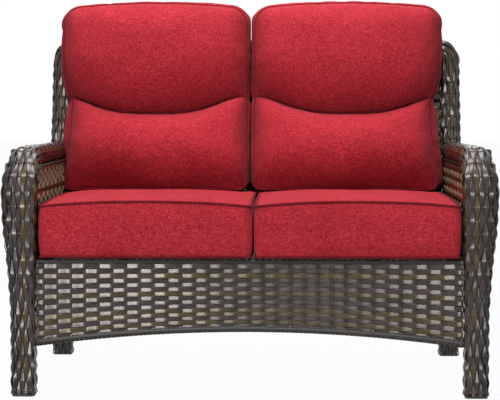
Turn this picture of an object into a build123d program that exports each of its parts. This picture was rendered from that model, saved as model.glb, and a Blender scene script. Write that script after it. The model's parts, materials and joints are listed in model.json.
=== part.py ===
"""Two-seat woven patio loveseat with rolled arms and four loose cushions.

The seat faces -Y, +X is to the right as seen from the front and +Z is up.  The origin lies on the
floor under the middle of the outline.  All sizes are millimetres.
"""

from build123d import *
from math import cos, hypot, radians, sin, tan
import os

os.makedirs("parts", exist_ok=True)

# Overall sizes
overall_width = 1250.0
overall_depth = 780.0
frame_height = 930.0
overrun = 6.0

# Front legs and rolled arms: woven sleeves round one bent tube a side
leg_width = 62.5
leg_depth = 50.0
leg_corner = 13.0
arm_flare = 22.5
arm_overhang = 6.0
arm_top = 629.0
arm_bend = 100.0
sleeve_wall = 6.0
arm_tube_diameter = 32.0
tube_wall = 1.5

# Back: one bent hoop that runs from a rear foot over the top rail to the other rear foot
post_width = 60.0
post_depth = 46.0
post_corner = 13.0
recline = 13.5
rear_splay = 12.8
knee_height = 330.0
knee_bend = 150.0
top_corner_bend = 34.0
hoop_diameter = 28.0

# Formers: plates on the tubes that hold the woven sleeves out
former_thickness = 3.0
former_clearance = 1.0

# Seat frame of square tube, bolted between the sides and to the back
deck_top = 345.0
deck_thickness = 5.0
rail_size = 25.0
cross_bar_size = 20.0
cross_bar_count = 4

# Woven panels
panel_thickness = 7.0
panel_setback = 22.0
side_panel_setback = 5.5
back_panel_setback = 4.0
rear_panel_setback = 1.0
hem_height = 137.0
hem_rise = 36.0
side_hem_rise = 24.0
hem_rod_diameter = 10.0
inner_panel_drop = 50.0

# Feet
glide_height = 5.0
glide_inset = 3.0
glide_corner = 10.0
plug_length = 22.0
plug_clearance = 0.2

# Fasteners
bolt_diameter = 8.0
bolt_head_diameter = 14.0
bolt_head_height = 5.0
bolt_socket = 5.0
bolt_socket_depth = 3.0
bolt_clearance = 0.5
washer_diameter = 18.0
washer_thickness = 1.6
nut_across_flats = 13.0
nut_height = 6.5
bolt_reach = 4.0

# Cushions
fit_gap = 0.3
side_gap = 0.5
middle_gap = 1.5
cover_thickness = 2.5
fill_clearance = 0.3
seat_thickness = 145.0
seat_crown = 8.0
seat_edge_crown = 1.5
seat_front_drop = 3.0
seat_corner_drop = 4.0
seat_front_bulge = 7.0
seat_rear_bulge = 4.0
seat_front_inset = 10.0
seat_rear_inset = 5.0
seat_flat_margin = 12.0
seat_draw_in = 4.0
seat_corner = 20.0
back_length = 514.0
back_top_crown = 20.0
back_arch = 9.0
head_lap = 15.75
waist_side_gap = 11.25
foot_side_gap = 3.25
lumbar_depth = 150.0
waist_depth = 92.0
crown_depth = 104.0
head_bulge = 40.0
lumbar_bulge = 26.0
waist_height = 207.0
waist_rise = 56.0
waist_seam = 2.0
heel_height = 60.0
heel_inset = 8.0
head_corner = 52.0
zip_width = 6.0
zip_depth = 1.2
zip_length = 420.0
slider_length = 12.0
slider_width = 9.0
slider_height = 2.4
slider_clearance = 0.2
slider_end_gap = 4.0
pull_length = 24.0
pull_width = 6.0
pull_thickness = 1.0

# Places that follow from the sizes above
half_width = overall_width / 2
leg_outer = half_width - arm_flare
bay_half = leg_outer - leg_width
post_outer = bay_half + post_width
leg_x = leg_outer - leg_width / 2
post_x = bay_half + post_width / 2
front_y = -overall_depth / 2
rear_y = overall_depth / 2
leg_y = front_y + leg_depth / 2
arm_z = arm_top - leg_depth / 2
lean = radians(recline)
splay = radians(rear_splay)
post_flat_half = post_width / 2 - post_corner
post_face_half = post_depth / 2 - post_corner
top_y = rear_y - post_flat_half * sin(lean) - post_face_half * cos(lean) - post_corner
top_z = frame_height - post_flat_half * cos(lean) - post_face_half * sin(lean) - post_corner
knee_y = top_y - (top_z - knee_height) * tan(lean)
rear_foot_y = knee_y + knee_height * tan(splay)
rail_top = deck_top - deck_thickness
rail_z = rail_top - rail_size / 2
apron_front_y = front_y + panel_setback
front_rail_y = apron_front_y + panel_thickness + rail_size / 2
lower_rail_y = knee_y
rear_rail_y = lower_rail_y - rail_size
rear_half = bay_half + post_corner
side_rail_x = bay_half - rail_size / 2
stretcher_x = bay_half + panel_thickness + rail_size / 2
outer_panel_x = leg_outer - side_panel_setback - panel_thickness / 2
inner_panel_x = bay_half + panel_thickness / 2
rail_front_face = front_rail_y + rail_size / 2
rail_rear_face = rear_rail_y - rail_size / 2


def back_face_y(z):
    """Y of the back's front plane at height z."""
    return knee_y + (z - knee_height) * tan(lean) - post_depth / 2 / cos(lean)


deck_rear_y = back_face_y(rail_top) - fit_gap


def write(shape, node):
    """Saves one named node."""
    shape.label = node
    export_step(shape, f"parts/{node}.step")


def mirrored(shape):
    """The same piece on the other side of the seat."""
    return mirror(shape, about=Plane.YZ)


def write_pair(shape, node):
    """Saves a piece of the right side and its mirror image on the left."""
    write(shape, f"{node}_right")
    write(mirrored(shape), f"{node}_left")


def box_between(low, high):
    """A box from its lowest to its highest corner."""
    size = [b - a for a, b in zip(low, high)]
    return Pos(*low) * Box(*size, align=(Align.MIN, Align.MIN, Align.MIN))


def square_tube(low, high, along):
    """A square tube between two corners, open along axis 0, 1 or 2."""
    inner_low = [a + (0 if i == along else tube_wall) for i, a in enumerate(low)]
    inner_high = [b - (0 if i == along else tube_wall) for i, b in enumerate(high)]
    return box_between(low, high) - box_between(inner_low, inner_high)


def rod_x(x, y, z, radius, length):
    """A cylinder along +X that starts at x."""
    return Plane((x, y, z), x_dir=(0, 1, 0), z_dir=(1, 0, 0)) * Cylinder(
        radius, length, align=(Align.CENTER, Align.CENTER, Align.MIN)
    )


def rod_y(x, y, z, radius, length):
    """A cylinder along +Y that starts at y."""
    return Plane((x, y, z), x_dir=(1, 0, 0), z_dir=(0, 1, 0)) * Cylinder(
        radius, length, align=(Align.CENTER, Align.CENTER, Align.MIN)
    )


# Arm and front leg


leg_run = arm_z - arm_bend - glide_height
arm_front_y = leg_y + arm_bend
arm_rear_y = back_face_y(arm_z)
arm_run = arm_rear_y - arm_front_y


# Share along the leg, and the shares of the arm's flare and of its overhang there
leg_flare_shares = (
    (0.0, 0.0, 0.0),
    (0.42, 0.0, 0.0),
    (0.54, 0.13, 0.0),
    (0.68, 0.42, 0.0),
    (0.86, 0.84, 0.55),
    (1.0, 1.0, 1.0),
)
arm_middle_share = 0.5


def leg_plane(share):
    """Level plane at a share of the leg's height."""
    return Plane((0, leg_y, glide_height + share * leg_run), x_dir=(1, 0, 0), z_dir=(0, 0, 1))


def bend_plane(share):
    """Plane across the arm's bend at a share of its quarter turn."""
    turn = radians(share * 90)
    y = arm_front_y - arm_bend * cos(turn)
    z = arm_z - arm_bend + arm_bend * sin(turn)
    return Plane((0, y, z), x_dir=(1, 0, 0), z_dir=(0, sin(turn), cos(turn)))


def arm_plane(share):
    """Upright plane across the arm at a share of its run to the back."""
    return Plane((0, arm_front_y + share * arm_run, arm_z), x_dir=(1, 0, 0), z_dir=(0, 1, 0))


def arm_section(flare, overhang, inset):
    """Rounded section of the arm sleeve, drawn in by inset."""
    low = bay_half - arm_overhang * overhang + inset
    high = leg_outer + arm_flare * flare - inset
    corner = leg_corner - inset
    return Pos((low + high) / 2, 0) * RectangleRounded(high - low, leg_depth - 2 * inset, corner)


def arm_body(inset):
    """Solid of the whole sleeve: the flaring leg, the bend and the arm, run a little into the post."""
    narrow = (post_outer - leg_outer) / arm_flare
    stations = [leg_plane(share) * arm_section(out, over, inset) for share, out, over in leg_flare_shares]
    if inset:
        stations[0] = leg_plane(-overrun / leg_run) * arm_section(0, 0, inset)
    leg = loft(stations, ruled=True)
    bend_line = ThreePointArc(bend_plane(0).origin, bend_plane(0.5).origin, bend_plane(1).origin)
    bend = sweep(bend_plane(0) * arm_section(1, 1, inset), bend_line)
    arm = loft(
        [
            arm_plane(0) * arm_section(1, 1, inset),
            arm_plane(arm_middle_share) * arm_section(arm_middle_share, arm_middle_share, inset),
            arm_plane(1 + post_depth / 2 / arm_run) * arm_section(narrow, 0, inset),
        ],
        ruled=True,
    )
    return leg + bend + arm


arm_filled = arm_body(0)
arm_hollow = arm_body(sleeve_wall)


def arm_path(start_z, end_y):
    """Line of the arm tube from the foot over the bend to the post."""
    slant = radians(45)
    low = Line((leg_x, leg_y, start_z), (leg_x, leg_y, arm_z - arm_bend))
    bend = ThreePointArc(
        (leg_x, leg_y, arm_z - arm_bend),
        (leg_x, arm_front_y - arm_bend * cos(slant), arm_z - arm_bend + arm_bend * sin(slant)),
        (leg_x, arm_front_y, arm_z),
    )
    high = Line((leg_x, arm_front_y, arm_z), (leg_x, end_y, arm_z))
    return Wire([low, bend, high])


def round_tube(path, start, direction, radius):
    """A solid round bar swept along a path."""
    return sweep(Plane(start, z_dir=direction) * Circle(radius), path)


# Back hoop


hoop_turn = knee_bend * tan((lean + splay) / 2)
knee_low_y = knee_y + hoop_turn * sin(splay)
knee_low_z = knee_height - hoop_turn * cos(splay)
knee_high_y = knee_y + hoop_turn * sin(lean)
knee_high_z = knee_height + hoop_turn * cos(lean)
bend_centre_y = knee_high_y + knee_bend * cos(lean)
bend_centre_z = knee_high_z - knee_bend * sin(lean)
bend_middle = (lean - splay) / 2
knee_middle_y = bend_centre_y - knee_bend * cos(bend_middle)
knee_middle_z = bend_centre_z + knee_bend * sin(bend_middle)
back_plane = Plane((0, knee_high_y, knee_high_z), x_dir=(1, 0, 0), z_dir=(0, -cos(lean), sin(lean)))
back_rise = (top_z - knee_high_z) / cos(lean)


def knee_path(x, start_z):
    """Line of a rear leg from the foot to the top of the knee."""
    start_y = rear_foot_y - start_z * tan(splay)
    low = Line((x, start_y, start_z), (x, knee_low_y, knee_low_z))
    bend = ThreePointArc(
        (x, knee_low_y, knee_low_z), (x, knee_middle_y, knee_middle_z), (x, knee_high_y, knee_high_z)
    )
    return Wire([low, bend])


def hoop_path():
    """Line of the back's upper hoop, an upside-down U in the leaning plane."""
    points = [(-post_x, 0), (-post_x, back_rise), (post_x, back_rise), (post_x, 0)]
    return back_plane * FilletPolyline(*points, radius=top_corner_bend)


def tube_path(start_z):
    """Line of the whole back tube: foot, knee, hoop, knee and foot in one."""
    right = knee_path(post_x, start_z).edges()
    return Wire([*right, *mirrored(Compound(right)).edges(), *hoop_path().edges()])


def whole_tube(radius, start_z):
    """A round bar along the whole back tube."""
    y = rear_foot_y - start_z * tan(splay)
    plane = Plane((-post_x, y, start_z), x_dir=(1, 0, 0), z_dir=(0, -sin(splay), cos(splay)))
    return sweep(plane * Circle(radius), tube_path(start_z))


def rear_leg_bar(section, start_z):
    """A section swept from the rear foot to the knee, on the right."""
    y = rear_foot_y - start_z * tan(splay)
    plane = Plane((post_x, y, start_z), x_dir=(1, 0, 0), z_dir=(0, -sin(splay), cos(splay)))
    return sweep(plane * section, knee_path(post_x, start_z))


def hoop_bar(section):
    """A section swept round the back's upper hoop."""
    plane = Plane(
        back_plane.from_local_coords(Vector(-post_x, 0, 0)), x_dir=(1, 0, 0), z_dir=(0, sin(lean), cos(lean))
    )
    return sweep(plane * section, hoop_path())


post_section = RectangleRounded(post_width, post_depth, post_corner)
post_cavity = RectangleRounded(
    post_width - 2 * sleeve_wall, post_depth - 2 * sleeve_wall, post_corner - sleeve_wall
)
leg_start = -overrun
floor_cut = box_between((-overall_width, front_y, -overall_depth), (overall_width, 2 * rear_y, glide_height))

rear_leg_filled = rear_leg_bar(post_section, leg_start)
rear_leg_cavity = rear_leg_bar(post_cavity, leg_start)
hoop_filled = hoop_bar(post_section)
hoop_cavity = hoop_bar(post_cavity)
rear_leg_core = rear_leg_bar(Circle(hoop_diameter / 2), leg_start)
hoop_core = hoop_bar(Circle(hoop_diameter / 2))


# Panels


def side_outline(low_z, rise):
    """Outline of a side panel along the middle lines of the leg, the arm and the post."""
    slant = radians(45)
    low_rear_y = rear_foot_y - low_z * tan(splay)
    post_at_arm = knee_y + (arm_z - knee_height) * tan(lean)
    edges = [
        Line((leg_y, low_z), (leg_y, arm_z - arm_bend)),
        ThreePointArc(
            (leg_y, arm_z - arm_bend),
            (arm_front_y - arm_bend * cos(slant), arm_z - arm_bend + arm_bend * sin(slant)),
            (arm_front_y, arm_z),
        ),
        Line((arm_front_y, arm_z), (post_at_arm, arm_z)),
        Line((post_at_arm, arm_z), (knee_y, knee_height)),
        Line((knee_y, knee_height), (low_rear_y, low_z)),
    ]
    if rise:
        middle_y = (leg_y + low_rear_y) / 2
        edges.append(ThreePointArc((low_rear_y, low_z), (middle_y, low_z + rise), (leg_y, low_z)))
    else:
        edges.append(Line((low_rear_y, low_z), (leg_y, low_z)))
    return make_face(edges)


def side_panel(x, low_z, rise):
    """A woven side panel that fills the frame between the sleeves."""
    plane = Plane((x - panel_thickness / 2, 0, 0), x_dir=(0, 1, 0), z_dir=(1, 0, 0))
    sheet = extrude(plane * side_outline(low_z, rise), panel_thickness)
    return sheet - arm_filled - rear_leg_filled - hoop_filled


def arched_sheet(plane, half, low, high, rise):
    """A sheet in a plane from -half to half, with an arched lower edge."""
    edges = [
        ThreePointArc((-half, low), (0, low + rise), (half, low)),
        Line((half, low), (half, high)),
        Line((half, high), (-half, high)),
        Line((-half, high), (-half, low)),
    ]
    return extrude(plane * make_face(edges), panel_thickness)


def hem_rod(plane, half, low, rise):
    """The rod along an arched lower edge, run on along the same arc to the tubes."""
    arc = ThreePointArc((-half, low), (0, low + rise), (half, low))
    path = plane * arc
    start = path @ 0
    return sweep(Plane(start, z_dir=path % 0) * Circle(hem_rod_diameter / 2), path)


# Frame tubes and sleeves

arm_start = (leg_x, leg_y, glide_height)
arm_end_y = knee_y + (arm_z - knee_height) * tan(lean)
arm_line = arm_path(glide_height, arm_end_y)
arm_core = round_tube(arm_line, arm_start, (0, 0, 1), arm_tube_diameter / 2)
arm_bore = round_tube(arm_line, arm_start, (0, 0, 1), arm_tube_diameter / 2 - tube_wall)

stretcher_corners = (
    (stretcher_x - rail_size / 2, leg_y, rail_z - rail_size / 2),
    (stretcher_x + rail_size / 2, lower_rail_y - rail_size / 2, rail_z + rail_size / 2),
)
lower_rail_corners = (
    (-post_x, lower_rail_y - rail_size / 2, rail_z - rail_size / 2),
    (post_x, lower_rail_y + rail_size / 2, rail_z + rail_size / 2),
)
stretcher = square_tube(*stretcher_corners, 1)
stretcher_block = box_between(*stretcher_corners)
lower_rail = square_tube(*lower_rail_corners, 0)
lower_rail_block = box_between(*lower_rail_corners)

apron_plane = Plane((0, apron_front_y + panel_thickness, 0), x_dir=(1, 0, 0), z_dir=(0, -1, 0))
apron_rod_plane = Plane((0, apron_front_y + panel_thickness / 2, 0), x_dir=(1, 0, 0), z_dir=(0, -1, 0))
leg_slope = cos(splay)
rear_leg_plane = Plane((0, rear_foot_y, 0), x_dir=(1, 0, 0), z_dir=(0, -cos(splay), -sin(splay)))
rear_apron_plane = rear_leg_plane.offset(rear_panel_setback - post_depth / 2)
rear_rod_plane = rear_apron_plane.offset(panel_thickness / 2)
side_rod_plane = Plane((outer_panel_x, 0, 0), x_dir=(0, 1, 0), z_dir=(1, 0, 0))

front_rod = hem_rod(apron_rod_plane, bay_half, hem_height, hem_rise)
rear_rod = hem_rod(rear_rod_plane, bay_half, hem_height / leg_slope, hem_rise)
side_low_rear = rear_foot_y - hem_height * tan(splay)
side_middle_y = (leg_y + side_low_rear) / 2
side_rod_path = side_rod_plane * ThreePointArc(
    (leg_y, hem_height), (side_middle_y, hem_height + side_hem_rise), (side_low_rear, hem_height)
)
side_rod = sweep(
    Plane(side_rod_path @ 0, z_dir=side_rod_path % 0) * Circle(hem_rod_diameter / 2), side_rod_path
)
side_rod = side_rod - arm_filled - rear_leg_filled
front_rod = front_rod & box_between((-bay_half, front_y, 0), (bay_half, 0, deck_top))
rear_rod = rear_rod - rear_leg_filled - mirrored(rear_leg_filled)

post_face_plane = back_plane.offset(post_depth / 2)
behind_post_face = extrude(post_face_plane * Rectangle(2 * overall_width, 2 * frame_height), -rear_y)
arm_sleeve = arm_filled - arm_hollow - behind_post_face - stretcher_block
rear_leg_sleeve = rear_leg_filled - rear_leg_cavity - floor_cut - stretcher_block - lower_rail_block
back_sleeve = hoop_filled - hoop_cavity - arm_core - mirrored(arm_core)

arm_tube = arm_core - arm_bore - hoop_core
stretcher = stretcher - arm_core - rear_leg_core
lower_rail = lower_rail - rear_leg_core - mirrored(rear_leg_core)
back_hoop = whole_tube(hoop_diameter / 2, leg_start) - whole_tube(hoop_diameter / 2 - tube_wall, leg_start)
back_hoop = back_hoop - floor_cut

write_pair(arm_tube, "arm_tube")
write_pair(arm_sleeve, "arm_weave")
write(back_hoop, "back_hoop_tube")
write_pair(rear_leg_sleeve, "rear_leg_weave")
write(back_sleeve, "back_border_weave")

# Formers on the tubes

def arm_former(plane, flare, overhang):
    """A plate across the arm sleeve with a hole for the tube."""
    outline = plane * arm_section(flare, overhang, sleeve_wall + former_clearance)
    return extrude(outline, former_thickness / 2, both=True) - arm_core


low_former_share, high_former_share = 0.1, 0.36
arm_former_set = [
    arm_former(leg_plane(low_former_share), 0, 0),
    arm_former(leg_plane(high_former_share), 0, 0),
    arm_former(leg_plane(leg_flare_shares[-2][0]), *leg_flare_shares[-2][1:]),
    arm_former(bend_plane(0.5), 1, 1),
    arm_former(arm_plane(0), 1, 1),
    arm_former(arm_plane(arm_middle_share), arm_middle_share, arm_middle_share),
]

post_former_shares = (0.1, 0.35, 0.6, 0.85)
top_former_shares = (-0.6, -0.2, 0.2, 0.6)
post_former = RectangleRounded(
    post_width - 2 * (sleeve_wall + former_clearance),
    post_depth - 2 * (sleeve_wall + former_clearance),
    post_corner - sleeve_wall - former_clearance,
)
back_formers = []
for share in post_former_shares:
    place = back_plane.from_local_coords(Vector(post_x, share * back_rise, 0))
    plane = Plane(place, x_dir=(1, 0, 0), z_dir=(0, sin(lean), cos(lean)))
    plate = extrude(plane * post_former, former_thickness / 2, both=True) - hoop_core
    back_formers += [plate, mirrored(plate)]
for share in top_former_shares:
    place = back_plane.from_local_coords(Vector(share * post_x, back_rise, 0))
    plane = Plane(place, x_dir=(0, sin(lean), cos(lean)), z_dir=(1, 0, 0))
    back_formers.append(extrude(plane * post_former, former_thickness / 2, both=True) - hoop_core)

write_pair(Compound(arm_former_set), "arm_formers")
write(Compound(back_formers), "back_formers")

back_panel_low = (deck_top - knee_high_z) / cos(lean)
back_panel_high = back_rise - post_width / 2
back_panel_plane = back_plane.offset(post_depth / 2 - back_panel_setback - panel_thickness)
back_panel = extrude(
    back_panel_plane
    * Pos(0, (back_panel_low + back_panel_high) / 2)
    * Rectangle(2 * rear_half, back_panel_high - back_panel_low),
    panel_thickness,
)
back_panel = back_panel - hoop_filled - rear_leg_filled - mirrored(rear_leg_filled) - lower_rail_block

# Seat frame

bolt_hole = bolt_diameter / 2 + bolt_clearance
side_bolt_shares = (0.12, 0.5, 0.88)
side_bolt_ys = [rail_front_face + share * (rail_rear_face - rail_front_face) for share in side_bolt_shares]
back_bolt_shares = (-0.75, -0.3, 0.3, 0.75)
back_bolt_xs = [share * bay_half for share in back_bolt_shares]
side_bolt_length = rail_size + panel_thickness + tube_wall + nut_height + bolt_reach
back_bolt_length = rail_size + tube_wall + nut_height + bolt_reach


def side_hole(y):
    """The bore through a side rail, the inner panel and the stretcher's near wall."""
    start = side_rail_x - rail_size / 2 - overrun
    length = rail_size + panel_thickness + tube_wall + 2 * overrun
    return rod_x(start, y, rail_z, bolt_hole, length)


def back_hole(x):
    """The bore through the rear rail and the near wall of the back's lower rail."""
    start = rear_rail_y - rail_size / 2 - overrun
    return rod_y(x, start, rail_z, bolt_hole, rail_size + tube_wall + 2 * overrun)


front_rail = square_tube(
    (-bay_half, front_rail_y - rail_size / 2, rail_z - rail_size / 2),
    (bay_half, front_rail_y + rail_size / 2, rail_z + rail_size / 2),
    0,
)
rear_rail = square_tube(
    (-bay_half, rear_rail_y - rail_size / 2, rail_z - rail_size / 2),
    (bay_half, rear_rail_y + rail_size / 2, rail_z + rail_size / 2),
    0,
)
side_rail = square_tube(
    (side_rail_x - rail_size / 2, rail_front_face, rail_z - rail_size / 2),
    (side_rail_x + rail_size / 2, rail_rear_face, rail_z + rail_size / 2),
    1,
)
cross_bars = []
for index in range(cross_bar_count):
    x = bay_half * (2 * (index + 1) / (cross_bar_count + 1) - 1)
    cross_bars.append(
        square_tube(
            (x - cross_bar_size / 2, rail_front_face, rail_top - cross_bar_size),
            (x + cross_bar_size / 2, rail_rear_face, rail_top),
            1,
        )
    )

front_rail = front_rail - arm_filled - mirrored(arm_filled)
inner_panel = side_panel(inner_panel_x, deck_top - inner_panel_drop, 0) - lower_rail_block - back_panel
for y in side_bolt_ys:
    side_rail -= side_hole(y)
    stretcher -= side_hole(y)
    inner_panel -= side_hole(y)
for x in back_bolt_xs:
    rear_rail -= back_hole(x)
    lower_rail -= back_hole(x)

write(front_rail, "seat_front_rail")
write(rear_rail, "seat_rear_rail")
write_pair(side_rail, "seat_side_rail")
write(Compound(cross_bars), "seat_cross_bars")
write_pair(stretcher, "side_stretcher")
write(lower_rail, "back_lower_rail")

# Woven panels

outer_panel = side_panel(outer_panel_x, hem_height, side_hem_rise) - side_rod
front_apron = arched_sheet(apron_plane, bay_half, hem_height, deck_top, hem_rise) - front_rod
front_apron = front_apron - arm_filled - mirrored(arm_filled)
rear_high = rail_top / leg_slope
rear_apron = arched_sheet(rear_apron_plane, rear_half, hem_height / leg_slope, rear_high, hem_rise)
rear_apron = rear_apron - rear_rod - lower_rail_block - rear_leg_filled - mirrored(rear_leg_filled)
deck = box_between((-bay_half, apron_front_y + panel_thickness, rail_top), (bay_half, deck_rear_y, deck_top))
deck = deck - arm_filled - mirrored(arm_filled)
write_pair(outer_panel, "side_weave_outer")
write_pair(inner_panel, "side_weave_inner")
write(front_apron, "front_apron_weave")
write(rear_apron, "rear_apron_weave")
write(deck, "seat_deck_weave")
write(back_panel, "back_panel_weave")
write(front_rod, "front_hem_rod")
write(rear_rod, "rear_hem_rod")
write_pair(side_rod, "side_hem_rod")

# Feet


def front_glide():
    """A plastic foot with a plug that fits the front leg's tube."""
    sole = RectangleRounded(leg_width - 2 * glide_inset, leg_depth - 2 * glide_inset, glide_corner)
    pad = extrude(Pos(leg_x, leg_y) * sole, glide_height)
    plug = Pos(leg_x, leg_y, glide_height) * Cylinder(
        arm_tube_diameter / 2 - tube_wall - plug_clearance,
        plug_length,
        align=(Align.CENTER, Align.CENTER, Align.MIN),
    )
    return pad + plug


def rear_glide():
    """A plastic foot with a slanted plug that fits the rear leg's tube."""
    middle_y = rear_foot_y - glide_height * tan(splay)
    sole = RectangleRounded(post_width - 2 * glide_inset, post_depth - 2 * glide_inset, glide_corner)
    pad = extrude(Pos(post_x, middle_y) * sole, glide_height)
    plane = Plane((post_x, rear_foot_y, 0), x_dir=(1, 0, 0), z_dir=(0, -sin(splay), cos(splay)))
    plug = plane * Cylinder(
        hoop_diameter / 2 - tube_wall - plug_clearance,
        glide_height + plug_length,
        align=(Align.CENTER, Align.CENTER, Align.MIN),
    )
    return pad + (plug - floor_cut)


front_foot = front_glide()
rear_foot = rear_glide()
write(Compound([front_foot, mirrored(front_foot)]), "front_foot_glides")
write(Compound([rear_foot, mirrored(rear_foot)]), "rear_foot_glides")

# Fasteners


def bolt(length):
    """A button-head bolt along +Z with its head below zero and a hex socket."""
    head = Cylinder(bolt_head_diameter / 2, bolt_head_height, align=(Align.CENTER, Align.CENTER, Align.MAX))
    socket = extrude(RegularPolygon(bolt_socket / 2, 6, major_radius=False), bolt_socket_depth)
    shank = Cylinder(bolt_diameter / 2, length, align=(Align.CENTER, Align.CENTER, Align.MIN))
    return head + shank - Pos(0, 0, -bolt_head_height) * socket


def washer():
    """A flat washer along +Z."""
    ring = Cylinder(washer_diameter / 2, washer_thickness, align=(Align.CENTER, Align.CENTER, Align.MIN))
    return ring - Cylinder(bolt_hole, 2 * overrun)


def nut():
    """A hexagon nut along +Z."""
    body = extrude(RegularPolygon(nut_across_flats / 2, 6, major_radius=False), nut_height)
    return body - Cylinder(bolt_diameter / 2, 2 * overrun + nut_height)


bolts, washers, nuts = [], [], []
rail_inner_face = side_rail_x - rail_size / 2
stretcher_inside = stretcher_x - rail_size / 2 + tube_wall
for y in side_bolt_ys:
    axis = Plane((rail_inner_face, y, rail_z), x_dir=(0, 1, 0), z_dir=(1, 0, 0))
    bolts.append(axis.offset(-washer_thickness) * bolt(side_bolt_length + washer_thickness))
    washers.append(axis.offset(-washer_thickness) * washer())
    nuts.append(axis.offset(stretcher_inside - rail_inner_face) * nut())
for group in (bolts, washers, nuts):
    group += [mirrored(piece) for piece in list(group)]
for x in back_bolt_xs:
    axis = Plane((x, rear_rail_y - rail_size / 2, rail_z), x_dir=(1, 0, 0), z_dir=(0, 1, 0))
    bolts.append(axis.offset(-washer_thickness) * bolt(back_bolt_length + washer_thickness))
    washers.append(axis.offset(-washer_thickness) * washer())
    nuts.append(axis.offset(rail_size + tube_wall) * nut())
write(Compound(bolts), "frame_bolts")
write(Compound(washers), "frame_washers")
write(Compound(nuts), "frame_nuts")

# Cushion places and swells

seat_low_z = deck_top + fit_gap
seat_high_z = seat_low_z + seat_thickness
seat_front_y = front_y + seat_front_inset
seat_rear_y = deck_rear_y - seat_rear_inset
seat_inner_x = middle_gap / 2
seat_outer_x = bay_half - arm_overhang - side_gap
back_low_z = seat_high_z + fit_gap
back_rest_y = back_face_y(back_low_z) - fit_gap / cos(lean)
seat_flat_y = back_rest_y - lumbar_depth - seat_flat_margin
head_width = bay_half + head_lap - middle_gap / 2
waist_width = bay_half - waist_side_gap - middle_gap / 2
foot_width = bay_half - foot_side_gap - middle_gap / 2
back_middle_x = middle_gap / 2 + head_width / 2
seat_middle_x = (seat_inner_x + seat_outer_x) / 2

# Share of the half width from the cushion's middle, and the share of the crown that is left there
swell_shares = (
    (-1.0, 0.0),
    (-0.84, 0.3),
    (-0.6, 0.62),
    (-0.3, 0.9),
    (0.0, 1.0),
    (0.3, 0.9),
    (0.6, 0.62),
    (0.84, 0.3),
    (1.0, 0.0),
)
edge_bulge_share = 0.45

# Seat cushions


def seat_section(x, swell, inset):
    """Side profile of the seat cushion at x: flat below and at the rear, crowned where one sits."""
    low, high = seat_low_z + inset, seat_high_z - inset
    front = seat_front_y + seat_front_bulge + inset
    rear = seat_rear_y - seat_rear_bulge - inset
    front_high = high - seat_front_drop - seat_corner_drop * (1 - swell)
    bulge = seat_front_bulge * (edge_bulge_share + (1 - edge_bulge_share) * swell)
    crown = seat_edge_crown + (seat_crown - seat_edge_crown) * swell
    crown_y = (seat_flat_y + front) / 2
    edges = [
        Line((front, low), (rear, low)),
        ThreePointArc((rear, low), (rear + seat_rear_bulge, (low + high) / 2), (rear, high)),
        Line((rear, high), (seat_flat_y, high)),
        ThreePointArc((seat_flat_y, high), (crown_y, (high + front_high) / 2 + crown), (front, front_high)),
        ThreePointArc((front, front_high), (front - bulge, (low + front_high) / 2), (front, low)),
    ]
    return Plane((x, 0, 0), x_dir=(0, 1, 0), z_dir=(1, 0, 0)) * make_face(edges)


def seat_body(inset):
    """Seat cushion drawn in by inset, with its sides pulled in between the corners."""
    inner, outer = seat_inner_x + inset, seat_outer_x - inset
    half = (outer - inner) / 2 + overrun
    block = loft([seat_section(seat_middle_x + share * half, swell, inset) for share, swell in swell_shares])
    front, rear = seat_front_y + inset, seat_rear_y - inset
    edges = [
        Line((inner, front), (outer, front)),
        ThreePointArc((outer, front), (outer - seat_draw_in, (front + rear) / 2), (outer, rear)),
        Line((outer, rear), (inner, rear)),
        ThreePointArc((inner, rear), (inner + seat_draw_in, (front + rear) / 2), (inner, front)),
    ]
    outline = make_face(edges)
    outline = fillet(outline.vertices(), seat_corner - inset)
    cut = extrude(outline, seat_thickness + seat_crown + 2 * overrun)
    return block & (Pos(0, 0, seat_low_z - overrun) * cut)


# Back cushions


def lean_point(forward, up):
    """(Y, Z) of a point a distance in front of the back's plane and up along it."""
    y = back_rest_y - forward * cos(lean) + up * sin(lean)
    return (y, back_low_z + forward * sin(lean) + up * cos(lean))


def level_point(forward, above):
    """(Y, Z) of a point a level distance in front of the plane's foot and above the cushion's foot."""
    return (back_rest_y - forward + above * tan(lean), back_low_z + above)


def back_section(x, swell, inset):
    """Side profile of the back cushion at x: a lumbar roll below a head roll, with a waist between."""
    share = edge_bulge_share + (1 - edge_bulge_share) * swell
    waist_up = waist_height + waist_rise * (1 - swell)
    top_up = back_length - back_arch * (1 - swell) - inset
    waist = lean_point(waist_depth - inset, waist_up)
    front_low = level_point(lumbar_depth - lumbar_bulge - inset, inset)
    rear_low = level_point(heel_inset + inset, inset)
    heel = lean_point(inset, heel_height)
    front_high = lean_point(crown_depth - inset, top_up)
    rear_high = lean_point(inset, top_up)
    crown = lean_point(crown_depth / 2, top_up + back_top_crown * share)
    lumbar_up = (waist_up - lumbar_depth * sin(lean)) / 2
    lumbar = lean_point((lumbar_depth + waist_depth) / 2 - inset + lumbar_bulge * share, lumbar_up)
    head = lean_point((crown_depth + waist_depth) / 2 - inset + head_bulge * share, (waist_up + top_up) / 2)
    edges = [
        Line(rear_low, front_low),
        ThreePointArc(front_low, lumbar, waist),
        ThreePointArc(waist, head, front_high),
        ThreePointArc(front_high, crown, rear_high),
        Line(rear_high, heel),
        Line(heel, rear_low),
    ]
    return Plane((x, 0, 0), x_dir=(0, 1, 0), z_dir=(1, 0, 0)) * make_face(edges)


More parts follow.
